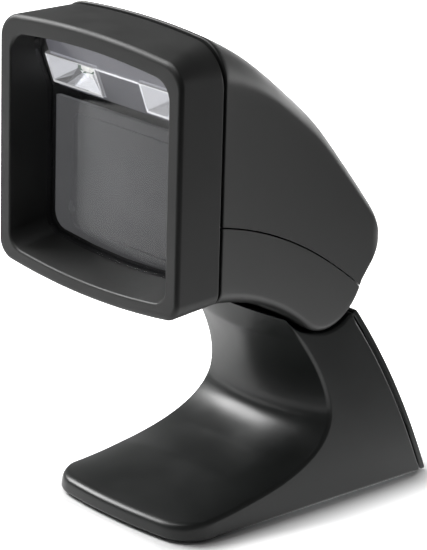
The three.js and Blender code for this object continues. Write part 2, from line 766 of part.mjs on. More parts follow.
function hingeShaft() {
  const head = -16.2;
  const profile = [[0, 0], [4, 0], [4, 1.5], [SHAFT_RADIUS, 1.5], [SHAFT_RADIUS, 33.6], [0, 33.6]];
  return turned("x", profile, head, HINGE_Y, HINGE_Z, 20);
}

function shaftNut() {
  const hexagon = new THREE.CylinderGeometry(4.2, 4.2, 2, 6).rotateZ(-Math.PI / 2);
  hexagon.translate(EAR_FAR + GAP + 1, HINGE_Y, HINGE_Z);
  return cut(hexagon, bar("x", SHAFT_RADIUS + GAP, 10, EAR_FAR + 1, HINGE_Y, HINGE_Z));
}

function frictionWasher(side) {
  const ring = [[2.8, 0], [5.6, 0], [5.6, 1.6], [2.8, 1.6], [2.8, 0]];
  const near = KNUCKLE_HALF + GAP;
  return turned("x", ring, side > 0 ? near : -near - 1.6, HINGE_Y, HINGE_Z, 20);
}

// ---------- Stand ----------

function standHalfAt(z) {
  return STAND_HALF_FLOOR - STAND_TAPER * z;
}

// Rear line of the stand, moved forward by an inset.
function rearLine(shape, inset) {
  shape.lineTo(STAND_REAR - inset, STAND_BOTTOM);
  shape.quadraticCurveTo(46.1 - 1.02 * inset, 29.4 - 0.2 * inset, 30.8 - 0.9 * inset, 53.2 - 0.4 * inset);
}

// Front scoop, from the toe up to the neck rim, moved into the stand by an inset.
function scoopLine(shape, inset) {
  shape.bezierCurveTo(0, 6.8 - inset, 16.6 + 0.8 * inset, 16 - 0.7 * inset, 16.6 + inset, 27);
  const lift = -0.3 * inset;
  shape.bezierCurveTo(16.5 + inset, 36, 9.9 + inset, 46.8 + lift, NECK_RIM.y + inset, NECK_RIM.z + lift);
}

function standBlank() {
  const shape = new THREE.Shape();
  shape.moveTo(-60, STAND_BOTTOM);
  rearLine(shape, REAR_COVER_THICK + REAR_COVER_GAP);
  shape.absarc(HINGE_Y, HINGE_Z, CRADLE_RADIUS, -CRADLE_BACK, -Math.PI + CRADLE_FRONT, true);
  shape.quadraticCurveTo(5.7, 51.2, NECK_RIM.y, NECK_RIM.z);
  shape.lineTo(-60, NECK_RIM.z);
  return bend(sideways(shape, -1, 1, 1, 14), (point) => {
    point.x *= standHalfAt(point.z);
  });
}

// Everything in front of the scoop. Its face is crowned across its width, so the scoop is saddle-shaped.
function scoopTool() {
  const shape = new THREE.Shape();
  shape.moveTo(-70, 6);
  shape.lineTo(-46, 6);
  scoopLine(shape, 0);
  shape.lineTo(NECK_RIM.y - 3, 80);
  shape.lineTo(-70, 80);
  return bend(sideways(shape, -1.05, 1.05, 14, 14), (point) => {
    const middle = point.y > -45 && point.z < 60 ? 1 - clamp(Math.abs(point.x), 0, 1) ** 2 : 0;
    const neck = clamp((point.z - 6) / 18, 0, 1) * clamp((NECK_RIM.z + 4 - point.z) / 12, 0, 1);
    const foot = clamp((point.y + 40) / 25, 0, 1) * clamp((24 - point.z) / 12, 0, 1);
    point.x *= standHalfAt(clamp(point.z, 0, 60));
    point.y -= middle * NECK_CROWN * neck;
    point.z += middle * FOOT_CROWN * foot;
  });
}

// Plan outline of the toe, with its bowed front and round corners, which narrows upwards like the side walls.
// Behind the corners it runs clear of the side walls.
function planTool(inset) {
  const middle = STAND_HALF_FLOOR + 0.02 - TOE_RADIUS;
  const reach = middle + TOE_RADIUS * Math.sin(TOE_SWEEP);
  const centre = TOE_FRONT + TOE_RADIUS * Math.cos(TOE_SWEEP) + (Math.tan(TOE_SWEEP) * reach) / 2;
  const radius = TOE_RADIUS - inset;
  const start = middle + radius * Math.sin(TOE_SWEEP);
  const front = centre - radius * Math.cos(TOE_SWEEP);
  const shape = new THREE.Shape();
  shape.moveTo(-middle - radius - 3, 80);
  shape.lineTo(-middle - radius - 3, centre + 30);
  shape.absarc(-middle, centre, radius, Math.PI, 1.5 * Math.PI - TOE_SWEEP);
  shape.quadraticCurveTo(0, front - Math.tan(TOE_SWEEP) * start, start, front);
  shape.absarc(middle, centre, radius, TOE_SWEEP - Math.PI / 2, 0);
  shape.lineTo(middle + radius + 3, centre + 30);
  shape.lineTo(middle + radius + 3, 80);
  const plan = new THREE.ExtrudeGeometry(shape, { depth: 100, bevelEnabled: false, curveSegments: 12 });
  return bend(plan.translate(0, 0, -5), (point) => {
    point.x *= standHalfAt(point.z) / STAND_HALF_FLOOR;
  });
}

// The hollow under the scoop and inside the neck, open at the bottom.
function standHollow() {
  const shape = new THREE.Shape();
  shape.moveTo(-70, -5);
  shape.lineTo(STAND_REAR - 5, -5);
  shape.lineTo(STAND_REAR - 5, STAND_BOTTOM);
  shape.quadraticCurveTo(41, 28.5, 28.2, 46);
  shape.lineTo(12.6, 46);
  shape.bezierCurveTo(17.4, 39.5, 22.6, 34, 22, 26);
  shape.bezierCurveTo(21, 9.5, 2, 3.8, -70, 3.8);
  const inner = bend(sideways(shape, -1, 1, 1, 10), (point) => {
    point.x *= standHalfAt(point.z) - WALL - 0.4;
  });
  const underCradle = bar("x", CRADLE_RADIUS + 4.6, 100, 0, HINGE_Y, HINGE_Z, 40);
  return cut(common(inner, planTool(2.4)), underCradle);
}

const BASE_SCREWS = [
  ["front_left", -20, -30, 5.2],
  ["front_right", 20, -30, 5.2],
  ["rear_left", -23.4, 38, 9],
  ["rear_right", 23.4, 38, 9],
];

function standBody() {
  const solid = common(cut(standBlank(), scoopTool()), planTool(0));
  const hollowed = cut(solid, standHollow());
  const bosses = BASE_SCREWS.map(([, x, y, tip]) => {
    const top = tip + 1.6 > 9 ? tip + 1.6 : 4.6;
    return block(x - 3.6, x + 3.6, y - 3.4, y + 3.4, PLATE_TOP + GAP, top);
  });
  const bores = BASE_SCREWS.map(([, x, y, tip]) => bar("z", 1.5, tip, x, y, tip / 2 + 0.3, 12));
  const stemSlot = block(
    -KNUCKLE_HALF - GAP,
    KNUCKLE_HALF + GAP,
    HINGE_Y - STEM_HALF - GAP,
    HINGE_Y + STEM_HALF + GAP,
    43.2,
    60,
  );
  const bracketBores = [-1, 1].map((side) => bar("z", 1.5, 6, side * 12, 23.5, 45.4, 12));
  return cut(join(hollowed, ...bosses), stemSlot, ...bores, ...bracketBores);
}

// Snap-on cover that closes the rear of the stand.
function rearCover() {
  const shape = new THREE.Shape();
  shape.moveTo(STAND_REAR - REAR_COVER_THICK, STAND_BOTTOM);
  rearLine(shape, 0);
  shape.lineTo(30.8 - 0.9 * REAR_COVER_THICK, 53.2 - 0.4 * REAR_COVER_THICK);
  const t = REAR_COVER_THICK;
  shape.quadraticCurveTo(46.1 - 1.02 * t, 29.4 - 0.2 * t, STAND_REAR - t, STAND_BOTTOM);
  return bend(sideways(shape, -1, 1, 1, 14), (point) => {
    point.x *= standHalfAt(point.z) - 0.5;
  });
}

function basePlate() {
  const half = STAND_HALF_FLOOR - WALL - 0.4 - 0.8;
  const plate = common(block(-half, half, -60, STAND_REAR - 6, PLATE_BOTTOM, PLATE_TOP), planTool(2.9));
  const bores = BASE_SCREWS.flatMap(([, x, y]) => [bar("z", 1.5, 10, x, y, 2, 12)]);
  return cut(plate, ...bores);
}

function baseScrew(x, y, tip) {
  const profile = [[0, 0], [2.3, 0], [2.3, 0.5], [1.2, 0.5], [1.2, tip - 0.8], [0, tip - 0.8]];
  return turned("z", profile, x, y, PLATE_BOTTOM - GAP - 0.5, 14);
}

function ballastWeight() {
  const shape = outline([[24, 3.2], [46, 3.2], [40.5, 21], [24, 21]]);
  return sideways(shape, -17, 17);
}

function footPad(x, y) {
  return turned("z", [[0, 0], [4.6, 0], [5, 0.3], [5, 1.3], [0, 1.3]], x, y, 0, 20);
}

const FOOT_PADS = [
  ["front_left", -18, -20],
  ["front_right", 18, -20],
  ["rear_left", -19, 24],
  ["rear_right", 19, 24],
];

// ---------- Assembly ----------

function add(group, name, geometry, look) {
  const mesh = new THREE.Mesh(geometry, new THREE.MeshStandardMaterial(LOOKS[look]));
  mesh.name = name;
  group.add(mesh);
}

const head = new THREE.Group();
add(head, "front_bezel", frontBezel(), "bezel_black");
add(head, "scan_window", scanWindow(), "window_glass");
add(head, "window_gasket", windowGasket(), "rubber");
add(head, "window_mask", windowMask(), "filter_grey");
add(head, "camera_filter", cameraFilter(), "filter_grey");
add(head, "optics_hood", opticsHood(), "inner_black");
add(head, "camera_body", cameraBody(), "inner_black");
add(head, "lens_barrel", lensBarrel(), "inner_black");
add(head, "camera_lens", cameraLens(), "lens_glass");
add(head, "sensor_board", sensorBoard(), "circuit_green");
add(head, "camera_bracket", cameraBracket(), "steel");
add(head, "aiming_lamp", aimer(), "steel");
add(head, "chassis_frame", chassisFrame(), "inner_black");
add(head, "main_board", mainBoard(), "circuit_green");
add(head, "board_post_left", boardPost(-11, 10), "steel");
add(head, "board_post_right", boardPost(11, 10), "steel");
add(head, "processor", processor(), "inner_black");
add(head, "beeper", beeper(), "inner_black");
add(head, "interface_socket", interfaceSocket(), "inner_black");
add(head, "upper_shell", upperShell(), "shell_black");
add(head, "lower_shell", lowerShell(), "shell_black");
add(head, "scan_button", scanButton(), "button_black");
add(head, "button_switch", tactileSwitch(), "inner_black");
add(head, "button_board", buttonBoard(), "circuit_green");
add(head, "status_light", statusLight(), "status_clear");
add(head, "shell_screw_left", shellScrew(-1), "steel");
add(head, "shell_screw_right", shellScrew(1), "steel");
add(head, "hinge_shaft", hingeShaft(), "steel");
add(head, "shaft_nut", shaftNut(), "steel");

const lampStrip = new THREE.Group();
lampStrip.position.set(0, WINDOW_FRONT, FOLD_Z);
lampStrip.rotation.x = LEAN;
add(lampStrip, "illumination_panel", illuminationPanel(), "panel_grey");
add(lampStrip, "reflector_left", reflectorCup(-1), "mirror");
add(lampStrip, "reflector_right", reflectorCup(1), "mirror");
add(lampStrip, "lamp_left", lamp(-1), "led_white");
add(lampStrip, "lamp_right", lamp(1), "led_white");
add(lampStrip, "lamp_board", lampBoard(), "circuit_green");
head.add(lampStrip);

const stand = new THREE.Group();
add(stand, "stand_body", standBody(), "stand_black");
add(stand, "rear_cover", rearCover(), "stand_black");
add(stand, "base_plate", basePlate(), "steel");
add(stand, "ballast_weight", ballastWeight(), "cast_metal");
add(stand, "hinge_bracket", hingeBracket(), "cast_metal");
add(stand, "bracket_screw_left", bracketScrew(-1), "steel");
add(stand, "bracket_screw_right", bracketScrew(1), "steel");
add(stand, "friction_washer_left", frictionWasher(-1), "steel");
add(stand, "friction_washer_right", frictionWasher(1), "steel");
for (const [place, x, y, tip] of BASE_SCREWS) add(stand, `base_screw_${place}`, baseScrew(x, y, tip), "steel");
for (const [place, x, y] of FOOT_PADS) add(stand, `foot_pad_${place}`, footPad(x, y), "rubber");

const scanner = new THREE.Group();
scanner.add(stand, head);
scanner.position.y = CENTRE_SHIFT;

export default scanner;
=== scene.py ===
"""Looks of the hands-free presentation barcode scanner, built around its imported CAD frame.

Shapes are worked out in millimetres, in the CAD frame (+Z up, the scan window faces -Y), and made in metres.
"""

import json
import math

import bmesh
import bpy
import numpy as np
from mathutils import Matrix, Vector


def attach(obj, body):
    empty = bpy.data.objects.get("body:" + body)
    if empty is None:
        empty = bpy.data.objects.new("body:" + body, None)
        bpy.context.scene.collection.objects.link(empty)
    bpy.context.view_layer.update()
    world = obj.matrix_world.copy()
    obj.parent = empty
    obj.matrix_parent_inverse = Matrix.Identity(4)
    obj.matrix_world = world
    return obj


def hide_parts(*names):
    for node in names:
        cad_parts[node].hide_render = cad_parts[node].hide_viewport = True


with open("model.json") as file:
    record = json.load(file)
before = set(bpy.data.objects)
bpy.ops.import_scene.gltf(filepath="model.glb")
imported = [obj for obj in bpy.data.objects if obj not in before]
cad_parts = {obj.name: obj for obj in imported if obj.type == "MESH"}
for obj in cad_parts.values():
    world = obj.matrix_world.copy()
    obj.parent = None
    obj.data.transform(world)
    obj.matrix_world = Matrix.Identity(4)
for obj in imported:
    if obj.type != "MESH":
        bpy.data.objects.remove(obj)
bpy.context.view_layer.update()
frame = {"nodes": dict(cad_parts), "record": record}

MM = 0.001

# ---------- Driving dimensions, in millimetres ----------

GAP = 0.3
WALL = 2.0

CENTRE_SHIFT = 0.5
BEZEL_FRONT = -54.5
HEAD_FRONT = -36.0
HEAD_REAR = 42.9
BEZEL_HALF_WIDTH = 38.2
HEAD_HALF_WIDTH = 35.4
HEAD_TOP = 146.4
BEZEL_FRONT_TOP = 144.4
BEZEL_FRONT_BOTTOM = 69.0
HEAD_FRONT_BOTTOM = 69.8
EDGE_BOW = 2.4
BEZEL_LIP = 1.5
RECESS_LIP = 0.6
SHADOW_GAP = 0.9
BEZEL_STEP = 0.5
HEAD_CORNER = 11.0
RECESS_FRONT = {"y": BEZEL_FRONT, "half": 33.1, "bottom": 73.3, "top": 139.3}
RECESS_BACK = {"y": HEAD_FRONT, "half": 31.7, "bottom": 77.2, "top": 137.6}

WINDOW_FRONT = -42.0
WINDOW_THICK = 1.2
FOLD_Z = 119.5
LEAN = math.radians(21)
STRIP_HEIGHT = 22.0

HINGE_Y = 18.0
HINGE_Z = 66.0
LOBE_RADIUS = 16.2
LOBE_START = math.radians(38.7)
LOBE_END = math.radians(58)
NOSE_Y, NOSE_Z, NOSE_RADIUS = 33.9, 74.0, 9.0
NOSE_SLOPE = math.radians(46.4)
NOSE_REACH, NOSE_DEPTH = 6.0, 4.0
KINK_Y = 33.2
CRADLE_RADIUS = 16.8
CRADLE_FRONT = math.radians(74.5)
CRADLE_BACK = math.radians(50)
KNUCKLE_HALF = 9.0
STEM_HALF = 4.0
BOW_END = 8.0
SLOPE_CORNER_FRONT = 7.5
SLOPE_CORNER_REAR = 4.5

SEAM_FRONT_Z = 94.4
SEAM_GAP = 0.5
SEAM_REAR = (33.0, 59.2)

STAND_HALF_FLOOR = 30.4
STAND_TAPER = 0.17
STAND_BOTTOM = 0.8
STAND_REAR = 53.5
TOE_FRONT = -44.0
TOE_SWEEP = math.radians(6.5)
TOE_RADIUS = 11.4
NECK_RIM = (1.7, 56.6)
NECK_CROWN = 5.0
FOOT_CROWN = 3.2
REAR_COVER_THICK = 2.0
REAR_COVER_GAP = 0.5

BUTTON_Y = -19.0
BUTTON_SLOPE = math.radians(32)
BUTTON_LENGTH = 13.0
BUTTON_WIDTH = 22.0
BUTTON_PROUD = 0.9
BUTTON_GAP = 0.35
STATUS_Y = -32.0
STATUS_HALF = 5.0
STATUS_HALF_LENGTH = 1.3

SHELL_SCREW_X = 13.0
SHELL_SCREW_Y = -24.0
BRACKET_SCREW_X = 12.0
BRACKET_SCREW_Y = 23.5

SOCKET_HALF = 7.4
SOCKET_BOTTOM = 68.2
SOCKET_TOP = 79.8
SOCKET_REAR = 38.6


def mix(a, b, t):
    """The value a share t of the way from a to b."""
    return a + (b - a) * t


def clamp(value):
    """A value kept between 0 and 1."""
    return min(max(value, 0.0), 1.0)


# ---------- Curves ----------


def bezier(points, steps):
    """Points on a quadratic or cubic Bezier curve, both ends included."""
    control = np.array(points, float)
    t = np.linspace(0, 1, steps + 1)[:, None]
    if len(control) == 3:
        return (1 - t) ** 2 * control[0] + 2 * t * (1 - t) * control[1] + t**2 * control[2]
    first = (1 - t) ** 3 * control[0] + 3 * t * (1 - t) ** 2 * control[1]
    return first + 3 * t**2 * (1 - t) * control[2] + t**3 * control[3]


def arc(y, z, radius, start, end, steps):
    """Points on a circular arc between two angles, both ends included."""
    angles = np.linspace(start, end, steps + 1)
    return np.stack([y + radius * np.cos(angles), z + radius * np.sin(angles)], axis=1)


def smooth_line(points, steps):
    """A Catmull-Rom curve through the points."""
    given = np.array(points, float)
    padded = np.vstack([2 * given[0] - given[1], given, 2 * given[-1] - given[-2]])
    t = np.linspace(0, 1, steps, endpoint=False)[:, None]
    parts = []
    for a, b, c, d in zip(padded, padded[1:], padded[2:], padded[3:]):
        bend = (2 * a - 5 * b + 4 * c - d) * t**2 + (3 * b - a - 3 * c + d) * t**3
        parts.append(0.5 * (2 * b + (c - a) * t + bend))
    return np.vstack([*parts, given[-1:]])


TOP_LINE = smooth_line(
    [
        (HEAD_FRONT - 2, HEAD_TOP + 0.1),
        (HEAD_FRONT, HEAD_TOP),
        (-33.6, 145.7),
        (-22.5, 139.7),
        (-10.8, 131.6),
        (9.6, 115.4),
        (24.6, 99.4),
        (36, 86),
        (40.6, 79.6),
        (42.4, 76),
        (HEAD_REAR + 0.1, 72.2),
    ],
    24,
)
LOBE_START_POINT = (
    HINGE_Y - LOBE_RADIUS * math.sin(LOBE_START),
    HINGE_Z - LOBE_RADIUS * math.cos(LOBE_START),
)
UNDER_LINE = bezier([(HEAD_FRONT - 2, 72.6), (-10.8, 67.9), LOBE_START_POINT], 60)


def top_at(y):
    return float(np.interp(y, TOP_LINE[:, 0], TOP_LINE[:, 1]))


def underside_at(y):
    """Height of the head's underside.

    It runs from a concave front over the round lobe and a kink at the seam to a slope and the round nose.
    """
    if y < LOBE_START_POINT[0]:
        return float(np.interp(y, UNDER_LINE[:, 0], UNDER_LINE[:, 1]))
    lobe_end = HINGE_Y + LOBE_RADIUS * math.sin(LOBE_END)
    if y < lobe_end:
        return HINGE_Z - math.sqrt(LOBE_RADIUS**2 - (y - HINGE_Y) ** 2)
    join_y = NOSE_Y + NOSE_RADIUS * math.sin(NOSE_SLOPE)
    slope_z = NOSE_Z - NOSE_RADIUS * math.cos(NOSE_SLOPE) - math.tan(NOSE_SLOPE) * (join_y - y)
    if y < KINK_Y:
        kink_z = slope_z + math.tan(NOSE_SLOPE) * (KINK_Y - y)
        return mix(HINGE_Z - LOBE_RADIUS * math.cos(LOBE_END), kink_z, (y - lobe_end) / (KINK_Y - lobe_end))
    if y < join_y:
        return slope_z
    return NOSE_Z - math.sqrt(max(NOSE_RADIUS**2 - (y - NOSE_Y) ** 2, 0))


# ---------- Mesh tools ----------


def make_piece(name, points, faces):
    """A mesh object from points in millimetres."""
    mesh = bpy.data.meshes.new(name)
    mesh.from_pydata((np.array(points, float) * MM).tolist(), [], faces)
    piece = bpy.data.objects.new(name, mesh)
    bpy.context.scene.collection.objects.link(piece)
    work = bmesh.new()
    work.from_mesh(mesh)
    bmesh.ops.remove_doubles(work, verts=work.verts, dist=1e-7)
    bmesh.ops.recalc_face_normals(work, faces=work.faces)
    many_sided = [face for face in work.faces if len(face.verts) > 4]
    bmesh.ops.triangulate(work, faces=many_sided)
    work.to_mesh(mesh)
    work.free()
    return piece


def tube_faces(rings, count, closed):
    """Quads between neighbouring rings, with a cap on each end unless the tube closes on itself."""
    faces = []
    for ring in range(rings if closed else rings - 1):
        here = ring * count
        there = (ring + 1) % rings * count
        for k in range(count):
            after = (k + 1) % count
            faces.append((here + k, here + after, there + after, there + k))
    if not closed:
        faces.append(tuple(range(count)))
        faces.append(tuple(range((rings - 1) * count, rings * count)))
    return faces


def tube(name, rings, closed=False):
    """A body through rings of equal length, each a list of (x, y, z)."""
    return make_piece(name, np.vstack(rings), tube_faces(len(rings), len(rings[0]), closed))


def prism(name, outline, x0, x1):
    """A side outline in (y, z), swept from x0 to x1."""
    side = np.array(outline, float)
    rings = [np.column_stack([np.full(len(side), x), side]) for x in (x0, x1)]
    return tube(name, rings)


def block(name, x0, x1, y0, y1, z0, z1):
    return prism(name, [(y0, z0), (y1, z0), (y1, z1), (y0, z1)], x0, x1)


def round_bar(name, radius, bottom, top, x, y):
    """An upright round bar."""
    angles = np.linspace(0, 2 * math.pi, 32, endpoint=False)
    circle = np.column_stack([x + radius * np.cos(angles), y + radius * np.sin(angles)])
    return tube(name, [np.column_stack([circle, np.full(len(circle), z)]) for z in (bottom, top)])


def place(piece, angle, x, y, z):
    """Turns a piece about X and moves it, inside its mesh."""
    turn = Matrix.Rotation(angle, 4, "X")
    piece.data.transform(Matrix.Translation(Vector((x, y, z)) * MM) @ turn)
    return piece


def combine(piece, tool, operation="DIFFERENCE"):
    """Applies one boolean and removes its tool."""
    step = piece.modifiers.new("combine", "BOOLEAN")
    step.operation = operation
    step.solver = "MANIFOLD"
    step.object = tool
    shape = bpy.context.evaluated_depsgraph_get()
    shape.update()
    made = bpy.data.meshes.new_from_object(piece.evaluated_get(shape))
    piece.modifiers.clear()
    piece.data = made
    made.name = piece.name
    bpy.data.objects.remove(tool)
    return piece


def soften(piece, width=0.0, sharp=35.0):
    """Rounds hard edges by a width in millimetres, and shades what is left of the surface smoothly."""
    piece.data.shade_smooth()
    if width:
        edge = piece.modifiers.new("edges", "BEVEL")
        edge.width = width * MM
        edge.segments = 2
        edge.limit_method = "ANGLE"
        edge.angle_limit = math.radians(sharp)
        edge.harden_normals = True
        edge.use_clamp_overlap = True
    else:
        piece.data.set_sharp_from_angle(angle=math.radians(sharp))
        normals = piece.modifiers.new("normals", "WEIGHTED_NORMAL")
        normals.keep_sharp = True
    return piece


# ---------- Sections across Y ----------

CORNER_STEPS = 12
EDGE_STEPS = 26


def section(half, bottom, top, top_radius, bottom_radius, top_bow, bottom_bow):
    """A rectangle with round corners and bowed top and bottom edges, anticlockwise in (x, z)."""
    corners = [
        (half - bottom_radius, bottom + bottom_radius, bottom_radius, -90),
        (half - top_radius, top - top_radius, top_radius, 0),
        (top_radius - half, top - top_radius, top_radius, 90),
        (bottom_radius - half, bottom + bottom_radius, bottom_radius, 180),
    ]
    parts = []
    for x, z, radius, start in corners:
        parts.append(arc(x, z, radius, math.radians(start), math.radians(start + 90), CORNER_STEPS))
    points = []
    for index, part in enumerate(parts):
        after = parts[(index + 1) % 4]
        between = np.linspace(part[-1], after[0], EDGE_STEPS + 1)[1:-1]
        points += [part, between]
    ring = np.vstack(points)
    middle = (bottom + top) / 2
    bow = np.where(ring[:, 1] > middle, top_bow, -bottom_bow)
    reach = np.abs(ring[:, 1] - middle) / (top - middle)
    ring[:, 1] -= bow * reach * (ring[:, 0] / half) ** 2
    return ring


def ring_at(y, sizes):
    ring = section(**sizes)
    return np.column_stack([ring[:, 0], np.full(len(ring), y), ring[:, 1]])


# ---------- Bezel ----------


def bezel_sizes(share, inset):
    return {
        "half": mix(BEZEL_HALF_WIDTH, HEAD_HALF_WIDTH, share) - inset,
        "bottom": mix(BEZEL_FRONT_BOTTOM, HEAD_FRONT_BOTTOM, share) + inset,
        "top": mix(BEZEL_FRONT_TOP, HEAD_TOP - BEZEL_STEP, share) - inset,
        "top_radius": mix(6.5, HEAD_CORNER, share) - inset / 2,
        "bottom_radius": mix(5, 4, share) - inset / 2,
        "top_bow": EDGE_BOW,
        "bottom_bow": mix(2.9, EDGE_BOW, share),
    }


def recess_sizes(y, inset):
    share = (y - RECESS_FRONT["y"]) / (RECESS_BACK["y"] - RECESS_FRONT["y"])
    return {
        "half": mix(RECESS_FRONT["half"], RECESS_BACK["half"], share) - inset,
        "bottom": mix(RECESS_FRONT["bottom"], RECESS_BACK["bottom"], share) + inset,
        "top": mix(RECESS_FRONT["top"], RECESS_BACK["top"], share) - inset,
        "top_radius": 5.5,
        "bottom_radius": 4.5,
        "top_bow": 2.2,
        "bottom_bow": 2.4,
    }


def recess_ring(y, inset):
    return ring_at(y, recess_sizes(y, inset))


def front_bezel():
    """Deep ring: side wall, round front lip, recess wall, and a narrower rim behind the shadow gap."""
    depth = HEAD_FRONT - GAP - BEZEL_FRONT
    rear = HEAD_FRONT - SHADOW_GAP

    def outer(y, inset):
        return ring_at(y, bezel_sizes((y - BEZEL_FRONT) / depth, inset))

    rings = [outer(HEAD_FRONT - GAP, 1.4), outer(rear, 1.4), outer(rear, 0.25), outer(rear - 0.25, 0)]
    side = np.linspace(rear - 0.6, BEZEL_FRONT + BEZEL_LIP, 10)
    rings += [outer(y, 0) for y in side]
    for turn in np.linspace(0, math.pi / 2, 12)[1:]:
        y = BEZEL_FRONT + BEZEL_LIP * (1 - math.sin(turn))
        rings.append(outer(y, BEZEL_LIP * (1 - math.cos(turn))))
    for turn in np.linspace(0, math.pi / 2, 8):
        y = BEZEL_FRONT + RECESS_LIP * (1 - math.cos(turn))
        rings.append(recess_ring(y, RECESS_LIP * (math.sin(turn) - 1)))
    inner = np.linspace(BEZEL_FRONT + RECESS_LIP + 0.3, HEAD_FRONT - GAP, 12)
    rings += [recess_ring(y, 0) for y in inner]
    return soften(tube("bezel_ring", rings, closed=True), sharp=50)


# ---------- Shells ----------


def head_half_at(y):
    """Half the head's width, which shrinks to the rear and is rounded off at the nose."""
    back = max(y - HEAD_FRONT, -2)
    turn = clamp((y - HEAD_REAR) / NOSE_REACH + 1)
    rounding = NOSE_DEPTH * (1 - math.sqrt(1 - turn**2))
    return HEAD_HALF_WIDTH - 0.29 * back + 0.00105 * back**2 - rounding


def head_ring(y, inset):
    """The head's section at one depth, smaller all round by an inset."""
    share = clamp((y - HEAD_FRONT) / (HEAD_REAR - HEAD_FRONT))
    front_share = clamp((BOW_END - y) / (BOW_END - HEAD_FRONT))
    bottom = underside_at(y) + inset
    top = top_at(y) - 1.25 * inset
    room = (top - bottom) / 2 - 0.2
    corner = mix(SLOPE_CORNER_FRONT, SLOPE_CORNER_REAR, share)
    corner += (HEAD_CORNER - SLOPE_CORNER_FRONT) * clamp(1 - 3 * share)
    sizes = {
        "half": head_half_at(y) - inset,
        "bottom": bottom - EDGE_BOW * front_share,
        "top": top,
        "top_radius": min(corner - inset / 2, room),
        "bottom_radius": min(mix(2.2, 4, front_share) - inset / 2, room),
        "top_bow": mix(EDGE_BOW, 1, share),
        "bottom_bow": EDGE_BOW * front_share,
    }
    return ring_at(y, sizes)


FRONT_EDGE = 0.4


def head_skin(name):
    """The head behind the bezel as a hollow body with a rounded front edge."""
    edge = [
        head_ring(HEAD_FRONT + FRONT_EDGE * (1 - math.cos(turn)), FRONT_EDGE * (1 - math.sin(turn)))
        for turn in np.linspace(0, math.pi / 2, 5)
    ]
    share = np.linspace(0, 1, 110)
    depth = mix(share, np.sin(share * math.pi / 2), 0.6)
    rest = [head_ring(mix(HEAD_FRONT + FRONT_EDGE + 0.3, HEAD_REAR, d), 0) for d in depth]
    skin = tube(name, edge + rest)
    hollow = tube("hollow", [head_ring(mix(HEAD_FRONT - 1, HEAD_REAR - 2.6, d), WALL) for d in depth[::2]])
    return combine(skin, hollow)


def seam_side(above, shift):
    """Everything above or below the seam between the shells."""
    far = 300 if above else -300
    curve = bezier([(HEAD_FRONT, SEAM_FRONT_Z), (2.1, 84.1), SEAM_REAR], 60) + (0, shift)
    slope_end = (SEAM_REAR[0] + 100, SEAM_REAR[1] + shift - 80)
    outline = [(-100, SEAM_FRONT_Z + shift), *curve, slope_end, (SEAM_REAR[0] + 100, far), (-100, far)]
    return prism("seam_side", outline, -80, 80)


def rounded_rectangle(half_x, half_y, radius, steps=8):
    corners = [(1, -1, -90), (1, 1, 0), (-1, 1, 90), (-1, -1, 180)]
    parts = []
    for side_x, side_y, start in corners:
        x = side_x * (half_x - radius)
        y = side_y * (half_y - radius)
        parts.append(arc(x, y, radius, math.radians(start), math.radians(start + 90), steps))
    return np.vstack(parts)


def pad(name, levels):
    """A body from rounded rectangles: levels is a list of (z, half_x, half_y, radius)."""
    rings = []
    for z, half_x, half_y, radius in levels:
        outline = rounded_rectangle(half_x, half_y, radius)
        rings.append(np.column_stack([outline, np.full(len(outline), z)]))
    return tube(name, rings)


def on_slope(piece):
    return place(piece, -BUTTON_SLOPE, 0, BUTTON_Y, top_at(BUTTON_Y))


def on_brow(piece):
    return place(piece, -0.8 * BUTTON_SLOPE, 0, STATUS_Y, top_at(STATUS_Y))


def upper_shell():
    """The shell above the seam, with openings for the button, the status light and the socket."""
    shell = combine(head_skin("shell_upper"), seam_side(True, SEAM_GAP / 2), "INTERSECT")
    half_x = BUTTON_WIDTH / 2 + BUTTON_GAP
    half_y = BUTTON_LENGTH / 2 + BUTTON_GAP
    combine(shell, on_slope(pad("tool", [(-8, half_x, half_y, 4.3), (8, half_x, half_y, 4.3)])))
    half_x = STATUS_HALF + GAP
    half_y = STATUS_HALF_LENGTH + GAP
    combine(shell, on_brow(pad("tool", [(-6, half_x, half_y, 1.5), (6, half_x, half_y, 1.5)])))
    half_x = SOCKET_HALF + GAP
    low = SOCKET_BOTTOM - GAP
    high = SOCKET_TOP + GAP
    combine(shell, block("tool", -half_x, half_x, SOCKET_REAR - 8, 60, low, high))
    return soften(shell, 0.16, sharp=40)


def lower_shell():
    """The shell below the seam, with an opening for the hinge knuckle and a screw hole on each side."""
    shell = combine(head_skin("shell_lower"), seam_side(False, -SEAM_GAP / 2), "INTERSECT")
    half = KNUCKLE_HALF + 0.6
    combine(shell, block("tool", -half, half, 12, 28, 40, 62))
    for side in (-1, 1):
        x = side * SHELL_SCREW_X
        combine(shell, round_bar("boss", 3.4, 69.6, 75.6, x, SHELL_SCREW_Y), "UNION")
        combine(shell, round_bar("tool", 1.6, 60, 82, x, SHELL_SCREW_Y))
        combine(shell, round_bar("tool", 2.6, 60, 72, x, SHELL_SCREW_Y))
    return soften(shell, 0.16, sharp=40)


def scan_button():
    """Cap with a rounded and slightly crowned top, above its flange."""
    half_x = BUTTON_WIDTH / 2
    half_y = BUTTON_LENGTH / 2
    levels = [(-4.6, half_x + 1.2, half_y + 1.2, 4.5), (-3.4, half_x + 1.2, half_y + 1.2, 4.5)]
    levels.append((-3.4, half_x, half_y, 4))
    for turn in np.linspace(0, math.pi / 2, 7):
        inset = 0.7 * (1 - math.cos(turn))
        z = BUTTON_PROUD - 0.9 + 0.7 * math.sin(turn)
        levels.append((z, half_x - inset, half_y - inset, 4 - inset / 2))
    for inset in (1.2, 2, 3):
        rise = 0.2 * (1 - ((3.5 - inset) / 2.8) ** 2)
        levels.append((BUTTON_PROUD - 0.2 + rise, half_x - inset, half_y - inset, 4 - inset / 2))
    return soften(on_slope(pad("button_cap", levels)))


